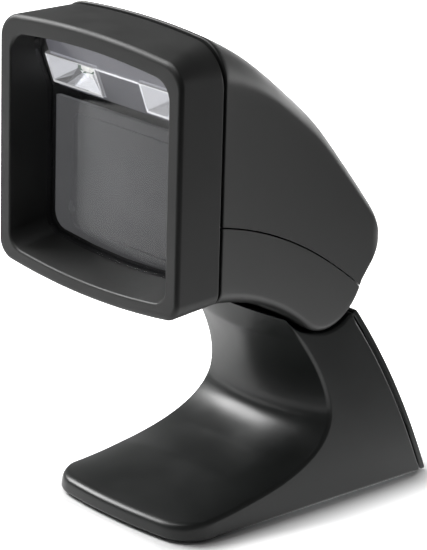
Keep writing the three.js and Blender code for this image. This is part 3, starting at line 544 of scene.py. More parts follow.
def status_light():
    levels = [(-2.4, STATUS_HALF, STATUS_HALF_LENGTH, 1.2)]
    for turn in np.linspace(0, math.pi / 2, 5):
        inset = 0.3 * (1 - math.cos(turn))
        z = -0.2 + 0.3 * math.sin(turn)
        levels.append((z, STATUS_HALF - inset, STATUS_HALF_LENGTH - inset, 1.2 - inset))
    return soften(on_brow(pad("status_lens", levels)))


# ---------- Stand ----------


def stand_half_at(z):
    return STAND_HALF_FLOOR - STAND_TAPER * z


def rear_curve(inset):
    """Rear line of the stand from the floor up, moved forward by an inset."""
    return bezier(
        [
            (STAND_REAR - inset, STAND_BOTTOM),
            (46.1 - 1.02 * inset, 29.4 - 0.2 * inset),
            (30.8 - 0.9 * inset, 53.2 - 0.4 * inset),
        ],
        48,
    )


def round_joint(before, after, reach):
    """Joins two runs of points that meet at a corner, with the corner rounded over a reach."""
    corner = before[-1]
    kept_before = before[np.linalg.norm(before - corner, axis=1) > reach]
    kept_after = after[np.linalg.norm(after - corner, axis=1) > reach]
    return np.vstack([kept_before, bezier([kept_before[-1], corner, kept_after[0]], 8)[1:-1], kept_after])


def closed_outline(runs):
    """One closed line from (points, reach) runs that meet end to end, each end rounded over its reach."""
    trimmed = []
    for index, (points, reach) in enumerate(runs):
        from_start = np.linalg.norm(points - points[0], axis=1)
        from_end = np.linalg.norm(points - points[-1], axis=1)
        trimmed.append(points[(from_start > runs[index - 1][1]) & (from_end > reach)])
    parts = []
    for index, (points, reach) in enumerate(runs):
        corner = points[-1]
        after = trimmed[(index + 1) % len(runs)]
        turn = bezier([trimmed[index][-1], corner, after[0]], 8)[1:-1]
        parts += [trimmed[index], turn if reach else corner[None]]
    return np.vstack(parts)


def line(start, end, steps):
    return np.linspace(start, end, steps + 1)


def stand_outline():
    """Side outline in (y, z): the floor, up the rear, over the cradle, down the scoop and round the toe."""
    cradle = arc(HINGE_Y, HINGE_Z, CRADLE_RADIUS, -CRADLE_BACK, CRADLE_FRONT - math.pi, 40)
    rear = rear_curve(REAR_COVER_THICK + REAR_COVER_GAP)
    rear[-1] = cradle[0]
    return closed_outline(
        [
            (line((0, STAND_BOTTOM), rear[0], 30), 1.4),
            (rear, 1.2),
            (cradle, 0),
            (bezier([cradle[-1], (5.7, 51.2), NECK_RIM], 20), 1.6),
            (bezier([NECK_RIM, (9.9, 46.8), (16.5, 36), (16.6, 27)], 40), 0),
            (bezier([(16.6, 27), (16.6, 16), (0, 6.8), (TOE_FRONT, 6)], 70), 2.2),
            (line((TOE_FRONT, 6), (TOE_FRONT, STAND_BOTTOM), 16), 1),
            (line((TOE_FRONT, STAND_BOTTOM), (0, STAND_BOTTOM), 30), 0),
        ]
    )


TOE_MIDDLE = STAND_HALF_FLOOR - TOE_RADIUS
TOE_DEPTH = math.tan(TOE_SWEEP) * (TOE_MIDDLE + TOE_RADIUS * math.sin(TOE_SWEEP)) / 2
TOE_CENTRE = TOE_FRONT + TOE_RADIUS * math.cos(TOE_SWEEP) + TOE_DEPTH


def toe_line_at(x, inset=0.0):
    """How far forward the toe reaches at a distance x from the middle: a bowed front with round corners."""
    radius = TOE_RADIUS - inset
    reach = TOE_MIDDLE + radius * math.sin(TOE_SWEEP)
    if x < reach:
        depth = math.tan(TOE_SWEEP) * reach / 2
        return TOE_CENTRE - radius * math.cos(TOE_SWEEP) - depth * (1 - (x / reach) ** 2)
    return TOE_CENTRE - math.sqrt(max(radius**2 - (x - TOE_MIDDLE) ** 2, 0))


def toe_plan(inset):
    """The toe's plan as a solid: it narrows upwards like the side walls and runs clear of them behind."""
    half = STAND_HALF_FLOOR - inset
    across = half * np.sin(np.linspace(-math.pi / 2, math.pi / 2, 61))
    outline = [(x, toe_line_at(abs(x), inset)) for x in across]
    outline += [(half + 3, TOE_CENTRE + 30), (half + 3, 80), (-half - 3, 80), (-half - 3, TOE_CENTRE + 30)]
    rings = []
    for z in (-5, 60):
        share = stand_half_at(z) / STAND_HALF_FLOOR
        rings.append([(x * share, y, z) for x, y in outline])
    return tube("tool", rings)


def inward(outline):
    """Unit normals of a closed outline, pointing into it."""
    along = np.roll(outline, -1, axis=0) - np.roll(outline, 1, axis=0)
    along /= np.linalg.norm(along, axis=1)[:, None]
    area = np.sum(outline[:, 0] * np.roll(outline[:, 1], -1) - np.roll(outline[:, 0], -1) * outline[:, 1])
    turn = 1 if area > 0 else -1
    return turn * np.column_stack([-along[:, 1], along[:, 0]])


def swept(name, outline, half_at, edge, steps, shift=None, corners=()):
    """A body with a side outline and a width that depends on height, with rounded side edges.

    The rounding fades out at the outline's corners, each given as its place, its start and its reach.
    """
    normals = inward(outline)
    for place_at, start, reach in corners:
        away = np.linalg.norm(outline - place_at, axis=1)
        normals *= np.clip((away - start) / reach, 0, 1)[:, None]
    turns = np.linspace(0, math.pi / 2, 7)
    places = [(-1, edge * (1 - math.cos(turn)), edge * (1 - math.sin(turn))) for turn in turns]
    across = np.sin(np.linspace(-math.pi / 2, math.pi / 2, steps + 2)[1:-1])
    places += [(u, edge, 0) for u in across]
    places += [(1, edge * (1 - math.cos(turn)), edge * (1 - math.sin(turn))) for turn in turns[::-1]]
    rings = []
    for u, back, inset in places:
        side = outline + normals * inset
        half = np.array([half_at(z) for z in side[:, 1]])
        x = u * (half - back)
        if shift is not None:
            side = side + shift(x, half, side)
        rings.append(np.column_stack([x, side]))
    return tube(name, rings)


def stand_shift(scoop):
    """Moves that crown the scoop across its width and bow the toe."""

    def shift(x, half, side):
        y, z = side[:, 0], side[:, 1]
        crown = scoop * (1 - (x / half) ** 2)
        neck = np.clip((z - 6) / 18, 0, 1) * np.clip((NECK_RIM[1] + 4 - z) / 12, 0, 1)
        foot = np.clip((y + 40) / 25, 0, 1) * np.clip((24 - z) / 12, 0, 1)
        near_toe = np.clip((-14 - y) / (-14 - TOE_FRONT), 0, 1) ** 1.5
        bow = np.array([toe_line_at(abs(v)) - TOE_FRONT for v in STAND_HALF_FLOOR * x / half])
        return np.column_stack([near_toe * bow - NECK_CROWN * neck * crown, FOOT_CROWN * foot * crown])

    return shift


def stand_hollow():
    """The hollow under the scoop and inside the neck, open at the bottom."""
    rear = bezier([(STAND_REAR - 5, STAND_BOTTOM), (41, 28.5), (28.2, 46)], 24)
    front = bezier([(12.6, 46), (17.4, 39.5), (22.6, 34), (22, 26)], 20)
    floor = bezier([(22, 26), (21, 9.5), (2, 3.8), (-70, 3.8)], 40)
    outline = np.vstack([[(-70, -5), (STAND_REAR - 5, -5)], rear, front, floor[1:]])
    rings = []
    for side in (-1, 1):
        half = np.array([stand_half_at(z) - WALL - 0.4 for z in outline[:, 1]])
        rings.append(np.column_stack([side * half, outline]))
    hollow = tube("hollow", rings)
    combine(hollow, toe_plan(WALL + 0.4), "INTERSECT")
    angles = np.linspace(0, 2 * math.pi, 64, endpoint=False)
    wall = CRADLE_RADIUS + 4.6
    keep = np.column_stack([HINGE_Y + wall * np.cos(angles), HINGE_Z + wall * np.sin(angles)])
    return combine(hollow, prism("tool", keep, -50, 50))


BASE_SCREWS = [(-20, -30, 5.2), (20, -30, 5.2), (-23.4, 38, 9), (23.4, 38, 9)]
PLATE_TOP = 2.8


def stand_body():
    """The boot: hollow, with bosses for the base screws and openings for the hinge stem and its screws."""
    outline = stand_outline()
    rim = int(np.argmin(np.linalg.norm(outline - NECK_RIM, axis=1)))
    scoop = ((np.arange(len(outline)) >= rim) & (outline[:, 1] > 3)).astype(float)
    rear_top = (
        HINGE_Y + CRADLE_RADIUS * math.cos(CRADLE_BACK),
        HINGE_Z - CRADLE_RADIUS * math.sin(CRADLE_BACK),
    )
    rear_floor = (STAND_REAR - REAR_COVER_THICK - REAR_COVER_GAP, STAND_BOTTOM)
    corners = [(NECK_RIM, 4, 8), (rear_top, 0.3, 4), (rear_floor, 0, 3), ((TOE_FRONT, STAND_BOTTOM), 0, 3)]
    stand = swept("stand_shell", outline, stand_half_at, 1.0, 48, stand_shift(scoop), corners)
    combine(stand, stand_hollow())
    for x, y, tip in BASE_SCREWS:
        top = tip + 1.6 if tip + 1.6 > 9 else 4.6
        combine(stand, block("boss", x - 3.6, x + 3.6, y - 3.4, y + 3.4, PLATE_TOP + GAP, top), "UNION")
        combine(stand, round_bar("tool", 1.5, 0.2, tip + 0.3, x, y))
    half = KNUCKLE_HALF + GAP
    near = HINGE_Y - STEM_HALF - GAP
    far = HINGE_Y + STEM_HALF + GAP
    combine(stand, block("tool", -half, half, near, far, 43.2, 60))
    for side in (-1, 1):
        combine(stand, round_bar("tool", 1.5, 42.4, 48.4, side * BRACKET_SCREW_X, BRACKET_SCREW_Y))
    return soften(stand)


def rear_cover():
    """Thin strip down the back of the stand."""
    outer = rear_curve(0)
    inner = rear_curve(REAR_COVER_THICK)[::-1]
    outline = closed_outline(
        [
            (outer, 0.8),
            (line(outer[-1], inner[0], 12), 0.6),
            (inner, 0.6),
            (line(inner[-1], outer[0], 12), 0.6),
        ]
    )
    cover = swept("stand_rear_cover", outline, lambda z: stand_half_at(z) - 0.5, 0.5, 8)
    return soften(cover)


# ---------- Window and lamps ----------


def folded_sheet(name, near, far, half_width):
    """A folded sheet parallel to the scan window, between two depths behind its front face."""
    lean = math.tan(LEAN)
    bottom = RECESS_FRONT["bottom"] - 5

    def run(depth):
        shift = depth * math.tan(LEAN / 2)
        y = WINDOW_FRONT + depth
        top = (y - lean * STRIP_HEIGHT, FOLD_Z + shift + STRIP_HEIGHT)
        lower = line((y, bottom), (y, FOLD_Z + shift), 8)
        return round_joint(lower, line((y, FOLD_Z + shift), top, 40), 0.6)

    return prism(name, np.vstack([run(near), run(far)[::-1]]), -half_width, half_width)


def recess_plug(name, inset):
    """The space inside the bezel's recess as a solid, smaller by an inset and run on into the head."""
    depths = np.linspace(BEZEL_FRONT, HEAD_FRONT + 4, 12)
    return tube(name, [recess_ring(y, inset) for y in depths])


def scan_window():
    """The folded pane, cut to the shape of the recess."""
    pane = recess_plug("window_pane", GAP)
    combine(pane, folded_sheet("sheet", 0, WINDOW_THICK, 40), "INTERSECT")
    return soften(pane, 0.15, sharp=50)


LAMP_OFFSET = 19.9
LAMP_HALF = 10.8
LAMP_BOTTOM = 1.6
LAMP_TOP = 11.4
CUP_FRONT = WINDOW_THICK + GAP + 0.2
CUP_DEPTH = 5.6
PANEL_FRONT = WINDOW_THICK + 2 * GAP + 0.8
PANEL_THICK = 1.4
PANEL_INSET = 0.4
CUP_EDGE = 0.3


def on_strip(piece):
    """Pieces of the lamp strip are built with x across, z up the leaning strip and y into the head."""
    return place(piece, LEAN, 0, WINDOW_FRONT, FOLD_Z)


def frame_ring(x, z, half_x, half_z, radius, y):
    outline = rounded_rectangle(half_x, half_z, radius, 4)
    return np.column_stack([x + outline[:, 0], np.full(len(outline), y), z + outline[:, 1]])


def reflector(side, name):
    """Mirror cup: a rounded rim about a well of flat facets, with an eight-sided hole for the lamp."""
    x = side * LAMP_OFFSET
    z = (LAMP_BOTTOM + LAMP_TOP) / 2
    half_z = (LAMP_TOP - LAMP_BOTTOM) / 2
    rear = CUP_FRONT + CUP_DEPTH
    rings = [frame_ring(x, z, LAMP_HALF, half_z, 0.4, y) for y in (rear, CUP_FRONT + CUP_EDGE)]
    for turn in np.linspace(0, math.pi / 2, 5)[1:]:
        inset = CUP_EDGE * (1 - math.cos(turn))
        y = CUP_FRONT + CUP_EDGE - CUP_EDGE * math.sin(turn)
        rings.append(frame_ring(x, z, LAMP_HALF - inset, half_z - inset, 0.4, y))
    cup = tube(name, rings)
    wide, tall, low = LAMP_HALF - 0.6, half_z - 0.5, half_z - 0.9
    lip = [(-wide, -low), (-0.3 * wide, -low), (0.45 * wide, -low), (wide, -low)]
    lip += [(wide, tall), (0.3 * wide, tall), (-0.45 * wide, tall), (-wide, tall)]
    well = [(-3.4, -1.2), (-2.2, -2.3), (2.0, -2.3), (3.4, -1.0)]
    well += [(3.4, 1.4), (2.2, 2.4), (-2.0, 2.4), (-3.4, 1.0)]
    points = []
    for loop, y in ((lip, CUP_FRONT - 0.5), (lip, CUP_FRONT + 0.2), (well, rear - 1.2), (well, rear + 0.5)):
        points += [(x + side * u, y, z + v) for u, v in loop]
    faces = [tuple(range(8)), tuple(range(24, 32))]
    for level in range(3):
        for k in range(8):
            a, b = level * 8 + k, level * 8 + (k + 1) % 8
            c, d = b + 8, a + 8
            if level == 1 and k % 2:
                faces += [(a, b, d), (b, c, d)]
            elif level == 1:
                faces += [(a, b, c), (a, c, d)]
            else:
                faces.append((a, b, c, d))
    combine(cup, make_piece("tool", points, faces))
    inner_edge = LAMP_OFFSET - LAMP_HALF + 0.2
    near, far = sorted((side * inner_edge, side * 0.05))
    combine(cup, block("rib", near, far, CUP_FRONT, CUP_FRONT + 0.6, LAMP_TOP - 0.65, LAMP_TOP), "UNION")
    cup.data.shade_flat()
    return on_strip(cup)


def illumination_panel():
    """Grey plate with openings for the reflectors, cut to the shape of the recess."""
    reach = 29.4
    plate = block("lamp_panel", -reach, reach, PANEL_FRONT, PANEL_FRONT + PANEL_THICK, PANEL_INSET, 19.8)
    for side in (-1, 1):
        x = side * LAMP_OFFSET
        half = LAMP_HALF + GAP
        combine(plate, block("tool", x - half, x + half, 0, 10, LAMP_BOTTOM - GAP, LAMP_TOP + GAP))
    on_strip(plate)
    combine(plate, recess_plug("recess", PANEL_INSET), "INTERSECT")
    return soften(plate, 0.15, sharp=50)


# ---------- Materials ----------


def new_material(name):
    made = bpy.data.materials.new(name)
    made.use_nodes = True
    nodes = made.node_tree.nodes
    return made, nodes, made.node_tree.links, nodes["Principled BSDF"]


def noise(nodes, links, scale, detail=3.0, stretch=None):
    """Noise over the object's own coordinates, with its scale in waves per metre."""
    place_node = nodes.new("ShaderNodeTexCoord")
    texture = nodes.new("ShaderNodeTexNoise")
    texture.inputs["Scale"].default_value = scale
    texture.inputs["Detail"].default_value = detail
    source = place_node.outputs["Object"]
    if stretch:
        mapping = nodes.new("ShaderNodeMapping")
        mapping.inputs["Scale"].default_value = stretch
        links.new(source, mapping.inputs["Vector"])
        source = mapping.outputs["Vector"]
    links.new(source, texture.inputs["Vector"])
    return texture.outputs["Fac"]


def remap(nodes, links, value, low, high, from_low=0.3, from_high=0.7):
    node = nodes.new("ShaderNodeMapRange")
    node.inputs["From Min"].default_value = from_low
    node.inputs["From Max"].default_value = from_high
    node.inputs["To Min"].default_value = low
    node.inputs["To Max"].default_value = high
    links.new(value, node.inputs["Value"])
    return node.outputs["Result"]


# A Mix node has several sockets with the same names, so its colour sockets are found by number.
MIX_COLOUR_A = 6
MIX_COLOUR_B = 7
MIX_COLOUR_RESULT = 2


def blend_colours(nodes, links, share, first, second):
    """Mixes two colours, each a tuple or a socket."""
    node = nodes.new("ShaderNodeMix")
    node.data_type = "RGBA"
    links.new(share, node.inputs["Factor"])
    for number, colour in ((MIX_COLOUR_A, first), (MIX_COLOUR_B, second)):
        socket = node.inputs[number]
        if isinstance(colour, tuple):
            socket.default_value = (*colour, 1)
        else:
            links.new(colour, socket)
    return node.outputs[MIX_COLOUR_RESULT]


def join_values(nodes, links, operation, first, second):
    """One step of arithmetic on two sockets."""
    node = nodes.new("ShaderNodeMath")
    node.operation = operation
    links.new(first, node.inputs[0])
    links.new(second, node.inputs[1])
    return node.outputs["Value"]


def add_relief(nodes, links, shader, height, strength, depth):
    """Fine relief in a material, with its depth in millimetres."""
    bump = nodes.new("ShaderNodeBump")
    bump.inputs["Strength"].default_value = strength
    bump.inputs["Distance"].default_value = depth * MM
    links.new(height, bump.inputs["Height"])
    links.new(bump.outputs["Normal"], shader.inputs["Normal"])


def moulded(name, colour, roughness, grain=3200, depth=0.03, wear=0.35, coat=0.0):
    """Moulded plastic: fine spark-eroded grain, cloudy colour and gloss, and paler worn edges."""
    made, nodes, links, shader = new_material(name)
    cloud = noise(nodes, links, 60, 4)
    pale = tuple(min(1, c * 1.35 + 0.002) for c in colour)
    base = blend_colours(nodes, links, remap(nodes, links, cloud, 0, 1), colour, pale)
    geometry = nodes.new("ShaderNodeNewGeometry")
    edge = remap(nodes, links, geometry.outputs["Pointiness"], 0, wear, 0.52, 0.62)
    worn = tuple(min(1, c * 2.4 + 0.006) for c in colour)
    links.new(blend_colours(nodes, links, edge, base, worn), shader.inputs["Base Color"])
    links.new(remap(nodes, links, cloud, roughness * 0.9, roughness * 1.12), shader.inputs["Roughness"])
    if depth:
        add_relief(nodes, links, shader, noise(nodes, links, grain, 2), 0.35, depth)
    shader.inputs["Coat Weight"].default_value = coat
    shader.inputs["Coat Roughness"].default_value = 0.2
    return made


def metal(name, colour, roughness, stretch=(1, 8, 1), depth=0.01):
    """Brushed or cast metal with streaked gloss."""
    made, nodes, links, shader = new_material(name)
    streaks = noise(nodes, links, 900, 3, stretch)
    dull = tuple(c * 0.7 for c in colour)
    links.new(blend_colours(nodes, links, streaks, colour, dull), shader.inputs["Base Color"])
    links.new(remap(nodes, links, streaks, roughness * 0.7, roughness * 1.3), shader.inputs["Roughness"])
    shader.inputs["Metallic"].default_value = 1
    add_relief(nodes, links, shader, streaks, 0.3, depth)
    return made


def circuit_board(name):
    """Green lacquered board with darker tracks."""
    made, nodes, links, shader = new_material(name)
    where = nodes.new("ShaderNodeTexCoord")
    tracks = nodes.new("ShaderNodeTexBrick")
    tracks.inputs["Scale"].default_value = 260
    tracks.inputs["Mortar Size"].default_value = 0.08
    links.new(where.outputs["Object"], tracks.inputs["Vector"])
    lacquer = blend_colours(nodes, links, tracks.outputs["Fac"], (0.012, 0.1, 0.035), (0.03, 0.2, 0.07))
    links.new(lacquer, shader.inputs["Base Color"])
    cloud = noise(nodes, links, 300)
    links.new(remap(nodes, links, cloud, 0.25, 0.4), shader.inputs["Roughness"])
    add_relief(nodes, links, shader, tracks.outputs["Fac"], 0.5, 0.04)
    return made


def window_glass():
    """Smoked pane: clear with a faint tint, and a gloss that grows towards grazing views."""
    made, nodes, links, shader = new_material("window_glass_look")
    haze = noise(nodes, links, 45, 3)
    share = remap(nodes, links, haze, 0, 1)
    tint = blend_colours(nodes, links, share, (0.03, 0.03, 0.032), (0.045, 0.045, 0.048))
    links.new(tint, shader.inputs["Base Color"])
    links.new(remap(nodes, links, haze, 0.03, 0.06), shader.inputs["Roughness"])
    shader.inputs["Specular IOR Level"].default_value = 1.0
    clear = nodes.new("ShaderNodeBsdfTransparent")
    clear.inputs["Color"].default_value = (0.97, 0.97, 0.98, 1)
    edge_on = nodes.new("ShaderNodeLayerWeight")
    edge_on.inputs["Blend"].default_value = 0.35
    both = nodes.new("ShaderNodeMixShader")
    links.new(remap(nodes, links, edge_on.outputs["Facing"], 0.1, 0.5, 0, 1), both.inputs["Fac"])
    links.new(clear.outputs["BSDF"], both.inputs[1])
    links.new(shader.outputs["BSDF"], both.inputs[2])
    links.new(both.outputs["Shader"], nodes["Material Output"].inputs["Surface"])
    return made


def facing(nodes, links, direction):
    """How far a facet faces a direction, from -1 to 1."""
    geometry = nodes.new("ShaderNodeNewGeometry")
    node = nodes.new("ShaderNodeVectorMath")
    node.operation = "DOT_PRODUCT"
    links.new(geometry.outputs["True Normal"], node.inputs[0])
    node.inputs[1].default_value = direction
    return node.outputs["Value"]


def mirror_coating():
    """Bright metal with painted reflections: its rim and the facets that face down glow, standing in for the
    bright surroundings that the mirror shows.
    """
    made, nodes, links, shader = new_material("mirror_coating")
    smear = noise(nodes, links, 500, 3)
    silver = blend_colours(nodes, links, smear, (0.93, 0.94, 0.96), (0.84, 0.86, 0.9))
    links.new(silver, shader.inputs["Base Color"])
    links.new(remap(nodes, links, smear, 0.05, 0.16), shader.inputs["Roughness"])
    shader.inputs["Metallic"].default_value = 1
    # Painted reflections: the rim's front faces and the facets that face down get emission by their facing,
    # in place of mirrored studio light.
    outward = facing(nodes, links, (0, -math.cos(LEAN), -math.sin(LEAN)))
    rim = remap(nodes, links, outward, 0, 0.95, 0.96, 0.995)
    downward = facing(nodes, links, (-0.3, 0, -0.95))
    under = remap(nodes, links, downward, 0.25, 1.35, 0.1, 0.5)
    # The painted reflections glow white.
    shader.inputs["Emission Color"].default_value = (1, 1, 1, 1)
    links.new(join_values(nodes, links, "MAXIMUM", rim, under), shader.inputs["Emission Strength"])
    return made


def lamp_white():
    """Pale lamp body that glows a little through its phosphor."""
    made, nodes, links, shader = new_material("lamp_white")
    speck = noise(nodes, links, 2500, 2)
    phosphor = blend_colours(nodes, links, speck, (0.95, 0.95, 0.9), (0.88, 0.86, 0.72))
    links.new(phosphor, shader.inputs["Base Color"])
    links.new(remap(nodes, links, speck, 0.2, 0.35), shader.inputs["Roughness"])
    shader.inputs["Emission Color"].default_value = (1, 1, 1, 1)
    shader.inputs["Emission Strength"].default_value = 0.8
    return made


def along_axis(nodes, links, axis, start, end, first, last):
    """A value from first to last, between two places in millimetres on one of the object's own axes."""
    where = nodes.new("ShaderNodeTexCoord")
    axes = nodes.new("ShaderNodeSeparateXYZ")
    links.new(where.outputs["Object"], axes.inputs["Vector"])
    return remap(nodes, links, axes.outputs[axis], first, last, start * MM, end * MM)


def filter_plastic():
    """Grey filter behind the window, with a painted glow that is strongest on the left and fades to the
    right, standing in for light falling on it.
    """
    made = moulded("filter_plastic", (0.14, 0.14, 0.145), 0.25, depth=0.0, wear=0.0)
    nodes, links = made.node_tree.nodes, made.node_tree.links
    shader = nodes["Principled BSDF"]
    # Painted light: an emission that fades from the left edge to the right, though the filter is no lamp.
    shader.inputs["Emission Color"].default_value = (0.97, 0.98, 1, 1)
    glow = along_axis(nodes, links, "X", -28, 20, 0.11, 0.008)
    links.new(glow, shader.inputs["Emission Strength"])
    return made


def panel_plastic():
    """Grey plate behind the lamp strip, with painted light: a paler colour and a stronger painted glow in
    the band above the reflectors, and a faint painted glow below it.
    """
    made = moulded("panel_plastic", (0.24, 0.24, 0.27), 0.4, wear=0.0)
    nodes, links = made.node_tree.nodes, made.node_tree.links
    shader = nodes["Principled BSDF"]
    line_z = FOLD_Z + (LAMP_TOP + 0.5) * math.cos(LEAN)
    # Painted light: the band above this line is painted paler, standing in for light falling on the plate's
    # top.
    above = along_axis(nodes, links, "Z", line_z - 0.1, line_z + 0.1, 0, 1)
    plain = shader.inputs["Base Color"].links[0].from_socket
    links.new(blend_colours(nodes, links, above, plain, (0.5, 0.49, 0.54)), shader.inputs["Base Color"])
    # Painted glow over the whole plate, faint below the line and stronger above it; the plate is no lamp.
    shader.inputs["Emission Color"].default_value = (0.9, 0.92, 1, 1)
    glow = along_axis(nodes, links, "Z", line_z - 0.1, line_z + 0.1, 0.05, 0.13)
    links.new(glow, shader.inputs["Emission Strength"])
    return made


def make_looks():
    """One material for each slot of the record."""
    return {
        "shell_black": moulded("shell_plastic", (0.010, 0.0105, 0.0102), 0.42),
        "bezel_black": moulded("bezel_plastic", (0.012, 0.0124, 0.012), 0.5, grain=2600, depth=0.05),
        "stand_black": moulded("stand_plastic", (0.010, 0.0112, 0.0108), 0.34, grain=3600, depth=0.02),
        "button_black": moulded("button_plastic", (0.014, 0.0145, 0.014), 0.34),
        "inner_black": moulded("inner_plastic", (0.012, 0.012, 0.013), 0.6, wear=0.1),
        "rubber": moulded("foot_rubber", (0.012, 0.012, 0.012), 0.85, grain=1500, depth=0.08),
        # The panel's paler top band and glow are painted light.
        "panel_grey": panel_plastic(),
        "status_clear": moulded("status_plastic", (0.45, 0.5, 0.48), 0.2, depth=0.005),
        "lens_glass": moulded("lens_coating", (0.012, 0.016, 0.03), 0.06, depth=0.002, coat=1.0),
        "window_glass": window_glass(),
        # The filter's glow is painted light.
        "filter_grey": filter_plastic(),
        # The mirror's glow is painted reflection.
        "mirror": mirror_coating(),
        "led_white": lamp_white(),
        "circuit_green": circuit_board("board_lacquer"),
        "steel": metal("zinc_steel", (0.62, 0.64, 0.66), 0.32),
        "cast_metal": metal("cast_zinc", (0.36, 0.37, 0.39), 0.5, (1, 1, 1), 0.08),
    }


# ---------- Assembly ----------


def dress(piece, look):
    piece.data.materials.clear()
    piece.data.materials.append(look)


def stand_in(piece, node, body, slot):
    """Shows a piece in place of one CAD node."""
    piece.data.transform(Matrix.Translation((0, CENTRE_SHIFT * MM, 0)))
    dress(piece, looks[slot])
    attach(piece, body)
    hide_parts(node)


looks = make_looks()
stand_in(front_bezel(), "front_bezel", "head", "bezel_black")
stand_in(upper_shell(), "upper_shell", "head", "shell_black")
stand_in(lower_shell(), "lower_shell", "head", "shell_black")
stand_in(scan_window(), "scan_window", "head", "window_glass")
stand_in(illumination_panel(), "illumination_panel", "head", "panel_grey")
stand_in(reflector(-1, "mirror_cup_left"), "reflector_left", "head", "mirror")
stand_in(reflector(1, "mirror_cup_right"), "reflector_right", "head", "mirror")
stand_in(scan_button(), "scan_button", "button", "button_black")
stand_in(status_light(), "status_light", "head", "status_clear")
stand_in(stand_body(), "stand_body", "stand", "stand_black")
stand_in(rear_cover(), "rear_cover", "stand", "stand_black")

SLOT_OF = {part["node"]: part["material_slot"] for part in frame["record"]["subparts"]}
for node, cad_piece in frame["nodes"].items():
    if cad_piece.hide_render:
        continue
    cad_piece.data.materials.clear()
    cad_piece.data.materials.append(looks[SLOT_OF[node]])
    rounding = cad_piece.modifiers.new("edges", "BEVEL")
    rounding.width = 0.12 * MM
    rounding.segments = 2
    rounding.limit_method = "ANGLE"
    rounding.angle_limit = math.radians(50)

# ---------- Floor, light and camera ----------

FOOTPRINT_MIDDLE = (0, 0.005, 0)
FOOTPRINT_HALF = (0.022, 0.04, 0)


def stage_floor():
    """A wide floor: bright beside the stand and greyer behind, as its side walls mirror it.

    What the camera itself sees of the floor away from the stand is plain white.
    """
    reach = 4000
    corners = [(-reach, -reach, 0), (reach, -reach, 0), (reach, reach, 0), (-reach, reach, 0)]
    floor = make_piece("floor", corners, [(0, 1, 2, 3)])
    made, nodes, links, shader = new_material("floor_white")
    links.new(remap(nodes, links, noise(nodes, links, 30), 0.6, 0.75), shader.inputs["Roughness"])
    shader.inputs["Specular IOR Level"].default_value = 0.1

    def vector_step(operation, first, second=None):
        node = nodes.new("ShaderNodeVectorMath")
        node.operation = operation
        links.new(first, node.inputs[0])
        if second is not None:
            node.inputs[1].default_value = second
        return node.outputs["Value" if operation in ("LENGTH", "DOT_PRODUCT") else "Vector"]

    where = nodes.new("ShaderNodeTexCoord").outputs["Object"]
    right = vector_step("DOT_PRODUCT", where, (0.7, 0.7, 0))
    behind = remap(nodes, links, right, 0, 1, 0.1, 0.3)
    shade = blend_colours(nodes, links, behind, (0.92, 0.92, 0.92), (0.4, 0.4, 0.4))
    links.new(shade, shader.inputs["Base Color"])
    spread = vector_step("ABSOLUTE", vector_step("SUBTRACT", where, FOOTPRINT_MIDDLE))
    beyond = vector_step("MAXIMUM", vector_step("SUBTRACT", spread, FOOTPRINT_HALF), (0, 0, 0))
    away = vector_step("LENGTH", beyond)
    glow = remap(nodes, links, away, 0, 1.0, 0.009, 0.022)
    rising = remap(nodes, links, right, 0, 1, 0, 0.03)
    falling = remap(nodes, links, right, 0.9, 0, 0.09, 0.17)
    patch = join_values(nodes, links, "MULTIPLY", rising, falling)
    path = nodes.new("ShaderNodeLightPath")
    shown = nodes.new("ShaderNodeMix")
    links.new(path.outputs["Is Camera Ray"], shown.inputs["Factor"])
    links.new(patch, shown.inputs["A"])
    links.new(glow, shown.inputs["B"])
    shader.inputs["Emission Color"].default_value = (1, 1, 1, 1)
    links.new(shown.outputs["Result"], shader.inputs["Emission Strength"])
    floor.data.materials.append(made)


def softbox(name, where, aim, size, power):
    """A rectangular light aimed at a point: places and size in millimetres, power in watts."""
    light = bpy.data.lights.new(name, "AREA")
    light.shape = "RECTANGLE"
    light.size, light.size_y = (length * MM for length in size)
    light.energy = power
    holder = bpy.data.objects.new(name, light)
    bpy.context.scene.collection.objects.link(holder)
    holder.location = Vector(where) * MM
    holder.rotation_euler = (Vector(aim) * MM - holder.location).to_track_quat("-Z", "Y").to_euler()


def white_room():
    """White where the camera looks past the object, and dimmer as a source of light."""
    world = bpy.data.worlds.new("white_room")
    bpy.context.scene.world = world
    world.use_nodes = True
    nodes, links = world.node_tree.nodes, world.node_tree.links
    nodes.clear()

    def background(strength):
        node = nodes.new("ShaderNodeBackground")
        node.inputs["Color"].default_value = (1, 1, 1, 1)
        node.inputs["Strength"].default_value = strength
        return node.outputs["Background"]

    path = nodes.new("ShaderNodeLightPath")
    both = nodes.new("ShaderNodeMixShader")
    output = nodes.new("ShaderNodeOutputWorld")
    links.new(path.outputs["Is Camera Ray"], both.inputs["Fac"])
    links.new(background(0.12), both.inputs[1])
    links.new(background(1.05), both.inputs[2])
    links.new(both.outputs["Shader"], output.inputs["Surface"])


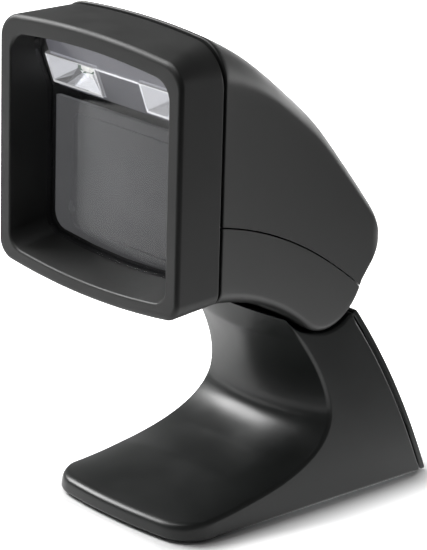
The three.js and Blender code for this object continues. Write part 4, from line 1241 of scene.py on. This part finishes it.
def black_flag():
    """A dark card on the floor in front, seen only in reflections: it darkens the corners that face it."""
    near, far, half = 150, 1500, 500
    corners = [(-half, near, 2), (half, near, 2), (half, far, 2), (-half, far, 2)]
    card = make_piece("black_flag", corners, [(0, 1, 2, 3)])
    made, nodes, links, shader = new_material("flag_cloth")
    links.new(remap(nodes, links, noise(nodes, links, 400), 0.8, 0.95), shader.inputs["Roughness"])
    shader.inputs["Base Color"].default_value = (0.01, 0.01, 0.01, 1)
    card.data.materials.append(made)
    card.data.transform(Matrix.Rotation(math.pi + CAMERA_AZIMUTH, 4, "Z"))
    card.visible_camera = False


CAMERA_AZIMUTH = math.radians(47.509)
CAMERA_ELEVATION = math.radians(18.625)
CAMERA_ROLL = math.radians(1.513)
CAMERA_TARGET = (0, -6.03, 65.63)
CAMERA_DISTANCE = 945.0
CAMERA_LENS = 217.0


def make_camera():
    """The camera, aimed at its target from an azimuth and elevation and rolled a little."""
    a, e, roll = CAMERA_AZIMUTH, CAMERA_ELEVATION, CAMERA_ROLL
    right = Vector((math.cos(a), math.sin(a), 0))
    up = Vector((-math.sin(a) * math.sin(e), math.cos(a) * math.sin(e), math.cos(e)))
    back = Vector((math.sin(a) * math.cos(e), -math.cos(a) * math.cos(e), math.sin(e)))
    turned_right = math.cos(roll) * right + math.sin(roll) * up
    turned_up = math.cos(roll) * up - math.sin(roll) * right
    camera = bpy.data.objects.new("camera", bpy.data.cameras.new("camera"))
    bpy.context.scene.collection.objects.link(camera)
    camera.data.lens = CAMERA_LENS
    camera.data.sensor_width = 36
    camera.data.clip_end = 20
    axes = Matrix((turned_right, turned_up, back)).transposed().to_4x4()
    where = (Vector(CAMERA_TARGET) + back * CAMERA_DISTANCE) * MM
    camera.matrix_world = Matrix.Translation(where) @ axes
    bpy.context.scene.camera = camera


stage_floor()
white_room()
softbox("left_above", where=(-640, -230, 560), aim=(0, 0, 60), size=(420, 420), power=8)
softbox("overhead", where=(-200, -150, 800), aim=(0, 0, 0), size=(500, 500), power=3.5)
softbox("behind", where=(-250, 800, 60), aim=(0, 0, 90), size=(1400, 240), power=3.5)
black_flag()
make_camera()
bpy.context.scene.view_settings.view_transform = "Standard"
